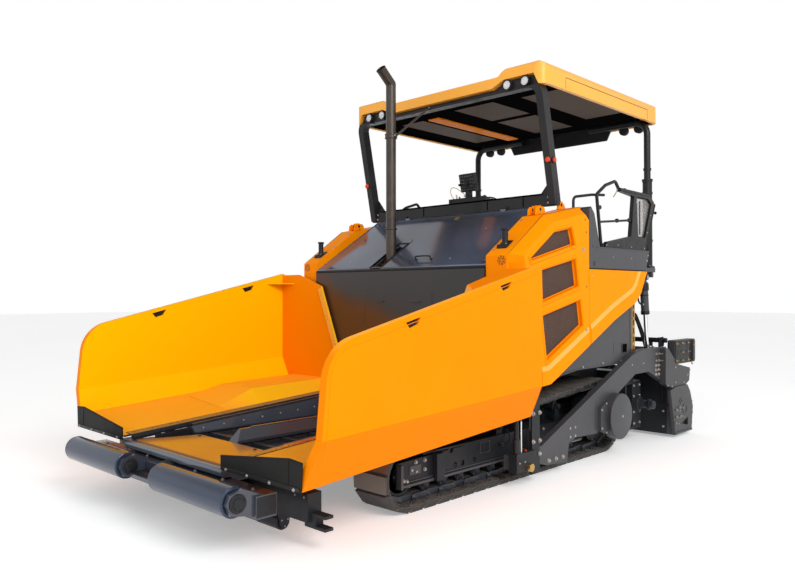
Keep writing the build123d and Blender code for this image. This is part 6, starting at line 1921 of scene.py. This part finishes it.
def makeTopBoxTrim():
    face = screedDetail["boxFace"]
    brassParts, ribs, hooks, heads = newForms(4)
    # ribs at the back and the side plate of the extension's box
    for low in (3.125, 3.165, 3.205):
        addBlock(ribs, (1.4, face + 0.01), (low, low + 0.01), (0.862, 1.118))
    sidePlate(ribs, [(2.712, 0.872), (2.738, 0.858), (3.06, 0.858), (3.092, 0.88), (3.092, 1.1),
        (3.06, 1.122), (2.738, 1.122), (2.712, 1.106)], face - 0.001, face + 0.006)
    for y in (2.735, 2.9, 3.06):
        for z in (0.888, 0.985, 1.09):
            if (y, z) != (2.735, 0.985):
                addDisc(brassParts, (face + 0.005, y, z), toSide, 0.013, 0.003, 20)
                addBolt(brassParts, (face + 0.007, y, z), toSide, 0.011)
                addLathe(brassParts, (face + 0.007, y, z), toSide, mm(0, 5.5, 24, 5.5, 26, 0), 12)
    # hooks and long studs that reach back from the box
    for x, y, z, rise in ((1.47, 3.215, 1.06, -0.15), (1.44, 3.235, 0.93, -0.35),
            (1.46, 3.195, 0.865, -0.9)):
        way = Vector((0.25, 1, rise)).normalized()
        addLathe(hooks, (x, y - 0.02, z), way, mm(0, 7, 52, 7, 56, 11.5, 64, 11.5, 68, 0), 14)
    for y, z in ((3.1, 0.748), (3.08, 0.69)):
        addLathe(hooks, (1.47, y, z), (0, 1, 0.1), mm(0, 9, 50, 9, 52, 0), 14)
    for y, z in ((2.722, 0.815), (2.5, 0.62), (2.62, 0.6), (2.72, 0.64), (2.95, 0.62), (3.06, 0.7)):
        addStud(heads, (1.4795, y, z), toSide, 0.012, 0.004, 16)
    makePieces("screed_arms", "both", ("box_bolts", brassParts, "brass"),
        ("box_ribs", ribs, "framePaint", 0.003), ("box_hooks", hooks, "brass"),
        ("hanger_heads", heads, "zincSteel"))


def makeScreedMiddle():
    half = screedDetail["half"]
    ribs, bolts, tread, blocks, pipes = newForms(5)
    # stiffeners on the front plate, and its clamped edge strips
    front = 2.64
    for i in range(screedDetail["ribs"]):
        x = -1.36 + 2.72 * i / (screedDetail["ribs"] - 1)
        addBlock(ribs, span(x, 0.006), (front - 0.028, front + 0.001), (0.42, 0.796))
        for z in (0.12, 0.3):
            addBolt(bolts, (x, front + 0.0005, z), toFront, 0.011)
    addBlock(ribs, span(0, half), (front - 0.006, front + 0.001), (0.776, 0.8))
    addBlock(ribs, span(0, half), (front - 0.005, front + 0.001), (0.36, 0.384))
    # rear wall: covers with their bolts and pulls
    rear = 3.105
    for i in range(6):
        low = -1.44 + i * 0.48
        addBlock(blocks, (low + 0.02, low + 0.46), (rear - 0.001, rear + 0.008), (0.09, 0.395))
        for x in (low + 0.05, low + 0.43):
            for z in (0.12, 0.365):
                addBolt(bolts, (x, rear + 0.007, z), toRear, 0.01)
        addBlock(blocks, (low + 0.18, low + 0.3), (rear + 0.007, rear + 0.026), (0.235, 0.262))
    # walkway over the box: chequered tread with a folded edge, and lids on the top housing
    addBlock(blocks, (-half + 0.07, half - 0.07), (2.99, 3.112), (0.419, 0.432))
    for i in range(34):
        for j in range(3):
            x, y = -1.36 + i * 0.0825, 3.01 + j * 0.036
            addTread(tread, x, y, (i + j) % 2, 0.028, 0.0084, (0.4315, 0.434))
    for i in range(4):
        low = -1.38 + i * 0.69
        addBlock(blocks, (low + 0.02, low + 0.67), (2.69, 2.965), (0.739, 0.748))
        for x in (low + 0.1, low + 0.59):
            addBlock(pipes, span(x, 0.022), (2.962, 2.99), (0.7, 0.752))
            addLathe(pipes, (x - 0.024, 2.988, 0.748), toSide, mm(0, 7, 48, 7, 48, 0), 14)
    # tamper drive blocks and the oil pipes along the housing
    for x in (-1.0, -0.35, 0.35, 1.0):
        addBlock(pipes, span(x, 0.055), (2.984, 3.04), (0.5, 0.64))
        addLathe(pipes, (x, 3.038, 0.57), toRear, mm(0, 40, 20, 40, 24, 30, 24, 0), 28)
        for dx, dz in ((-0.04, -0.05), (0.04, -0.05), (-0.04, 0.05), (0.04, 0.05)):
            addBolt(bolts, (x + dx, 3.0395, 0.57 + dz), toRear, 0.008)
    makePieces("screed_arms", "one", ("screed_ribs", ribs, "framePaint", 0.001),
        ("screed_bolts", bolts, "zincSteel"), ("screed_covers", blocks, "framePaint", 0.002),
        ("screed_tread", tread, "zincSteel"), ("screed_fittings", pipes, "blackPaint", 0.0015))
    for shift in (0.0, 0.028):
        makeTube("screed_pipe_%d" % (shift * 1000), [(-1.3, 3.0, 0.668 + shift),
            (-0.5, 3.0, 0.668 + shift), (0.5, 3.0, 0.668 + shift), (1.3, 3.0, 0.668 + shift)],
            0.009, "screed_arms", "zincSteel", False)
    for side, spots in (("left", (1.3, 1.0, 0.35)), ("right", (-1.3, -1.0, -0.35))):
        for i, x in enumerate(spots[1:]):
            makeTube("tamper_hose_%s_%d" % (side, i), [(x, 3.035, 0.64), (x, 3.045, 0.7),
                (x * 1.05, 3.03, 0.735), (x * 1.1, 3.0, 0.7)], 0.011, "screed_arms", "rubber")
    # sole plate: screw rows and the tamper bar's edge
    sole = bmesh.new()
    addBlock(sole, span(0, half), (2.643, 2.658), (0.0352, 0.09))
    for i in range(24):
        addLathe(sole, (-1.42 + i * 0.1235, 2.86, 0.0356), (0, 0, -1), mm(0, 8, 0.4, 7, 0.5, 0), 12)
    makePiece("screed_sole_edge", sole, "screed_arms", "trackSteel")


augerDetail = {"axis": (2.25, 0.42), "flange": 1.2635, "collar": 1.36, "cap": 1.4295,
    "bearing": 1.23}


def makeAugerTrim():
    # flange bolts, hub cap and collar, then the bearings and the support's bolts
    axis = augerDetail["axis"]
    for side, sign in (("left", 1), ("right", -1)):
        bolts = bmesh.new()
        for spot in circle(6, 0.06):
            place = (sign * augerDetail["flange"], axis[0] + spot.x, axis[1] + spot.y)
            addBolt(bolts, place, (sign, 0, 0), 0.009)
        addLathe(bolts, (sign * augerDetail["cap"], *axis), (sign, 0, 0),
            mm(0, 40, 4, 36, 6, 20, 6, 0), 28)
        addLathe(bolts, (sign * augerDetail["collar"], *axis), (sign, 0, 0),
            mm(0, 46, 2, 62, 30, 62, 32, 46), 36)
        makePiece("auger_bolts_" + side, bolts, "auger_" + side, "framePaint")
    plates, heads = newForms(2)
    for z in (0.2, 0.33, 0.51, 0.63):
        for y in (2.16, 2.3):
            addBolt(heads, (1.2305, y, z), toSide, 0.012)
    addLathe(plates, (augerDetail["bearing"], *axis), toSide,
        mm(0, 100, 8, 100, 10, 94, 10, 49), 44)
    addBlock(plates, span(0, 1.22), (2.149, 2.156), (0.69, 0.79))
    for x in (0.2, 0.6, 1.0):
        for z in (0.715, 0.765):
            addBolt(heads, (x, 2.156, z), toRear, 0.011)
    for y in (2.12, 2.29):
        for z in (0.36, 0.69):
            addBolt(heads, (0.062, y, z), toSide, 0.01)
    makePieces("machine", "both", ("auger_bearings", plates, "framePaint", 0.001),
        ("auger_support_bolts", heads, "zincSteel"))


def makeRearTrim():
    # housing under the deck: covers with pulls, and the pierced strips at its corners
    strips, covers, bolts = newForms(3)
    addBlock(strips, (1.31, 1.336), (1.8865, 1.905), (1.02, 1.78))
    for i in range(8):
        z = 1.03 + i * 0.094
        addFrame(strips, rectangle((1.925, 1.985), (z, z + 0.094)), 0.016, 1.314, 1.336)
    addBlock(strips, (1.312, 1.32), (1.905, 1.925), (1.025, 1.785))
    rear = 1.9005
    for low, high in ((-1.15, -0.4), (-0.36, 0.36), (0.4, 1.15)):
        addBlock(covers, (low, high), (rear - 0.001, rear + 0.012), (1.0, 1.86))
        for x in (low + 0.04, high - 0.04):
            for z in (1.04, 1.82):
                addBolt(bolts, (x, rear + 0.011, z), toRear, 0.01)
        addBlock(covers, span((low + high) / 2, 0.06), (rear + 0.011, rear + 0.03), (1.76, 1.79))
    makePiece("rear_strips", strips, "machine", "brass", "both", 0.001)
    makePieces("machine", "one", ("rear_covers", covers, "framePaint", 0.002),
        ("rear_bolts", bolts, "zincSteel"))


makeScreedTrim()
makeTopBoxTrim()
makeScreedMiddle()
makeAugerTrim()
makeRearTrim()
print("screed dressed")


stageLook = {"floorSize": 120.0, "floor": (0.97, 0.97, 0.97), "sky": 1.0, "overhead": 0.5,
    "floorGlow": 0.3, "keyPower": 920.0, "fillPower": 60.0, "lens": 33.28,
    "eye": (5.141, -5.752, 1.688), "turn": 44.08, "tilt": 0.57, "roll": -0.08}


def makeFloor():
    mesh = bpy.data.meshes.new("floor")
    half = stageLook["floorSize"] / 2
    mesh.from_pydata([(-half, -half, 0), (half, -half, 0), (half, half, 0), (-half, half, 0)], [],
        [(0, 1, 2, 3)])
    floor = newObject("floor", mesh)
    material, tree, shader = newMaterial("floorPaint")
    tone = ramp(tree, noise(tree, objectCoords(tree), 0.3, 3),
        [(0.3, stageLook["floor"]), (0.8, (0.9, 0.9, 0.9))])
    tree.links.new(tone, shader.inputs["Base Color"])
    shader.inputs["Roughness"].default_value = 0.8
    shader.inputs["Emission Color"].default_value = (1, 1, 1, 1)
    shader.inputs["Emission Strength"].default_value = stageLook["floorGlow"]
    mesh.materials.append(material)


def makeLight(name, place, target, size, power, tint=(1, 1, 1)):
    lamp = bpy.data.lights.new(name, "AREA")
    lamp.shape = "RECTANGLE"
    lamp.size, lamp.size_y = size
    lamp.energy = power
    lamp.color = tint
    light = newObject(name, lamp)
    light.location = place
    light.rotation_euler = (Vector(target) - Vector(place)).to_track_quat("-Z", "Y").to_euler()


def makeCamera():
    data = bpy.data.cameras.new("camera")
    data.lens = stageLook["lens"]
    data.sensor_width = 36.0
    camera = newObject("camera", data)
    turn, tilt = math.radians(stageLook["turn"]), math.radians(stageLook["tilt"])
    ahead = Vector((-math.sin(turn) * math.cos(tilt), math.cos(turn) * math.cos(tilt),
        math.sin(tilt)))
    aim = ahead.to_track_quat("-Z", "Y").to_matrix().to_4x4()
    roll = Matrix.Rotation(math.radians(stageLook["roll"]), 4, "Z")
    camera.matrix_world = Matrix.Translation(stageLook["eye"]) @ aim @ roll
    bpy.context.scene.camera = camera


def makeWorld():
    world = bpy.data.worlds.new("studio")
    bpy.context.scene.world = world
    world.use_nodes = True
    tree = world.node_tree
    # white around the horizon and softer overhead, where the lamps take over
    height = addNode(tree, "ShaderNodeSeparateXYZ", {0: addNode(tree,
        "ShaderNodeTexCoord").outputs["Generated"]})
    level = ramp(tree, height.outputs["Z"], [(0.4, stageLook["sky"]),
        (0.56, stageLook["overhead"])])
    background = tree.nodes["Background"]
    background.inputs["Color"].default_value = (1, 1, 1, 1)
    tree.links.new(level, background.inputs["Strength"])


makeFloor()
makeWorld()
makeLight("keyLight", (11, -4, 8), (0, -1, 1.2), (6, 5), stageLook["keyPower"])
makeLight("fillLight", (1, -11, 8), (0, -1, 1.0), (6, 6), stageLook["fillPower"])
makeCamera()
bpy.context.scene.view_settings.view_transform = "Standard"
print("stage ready")
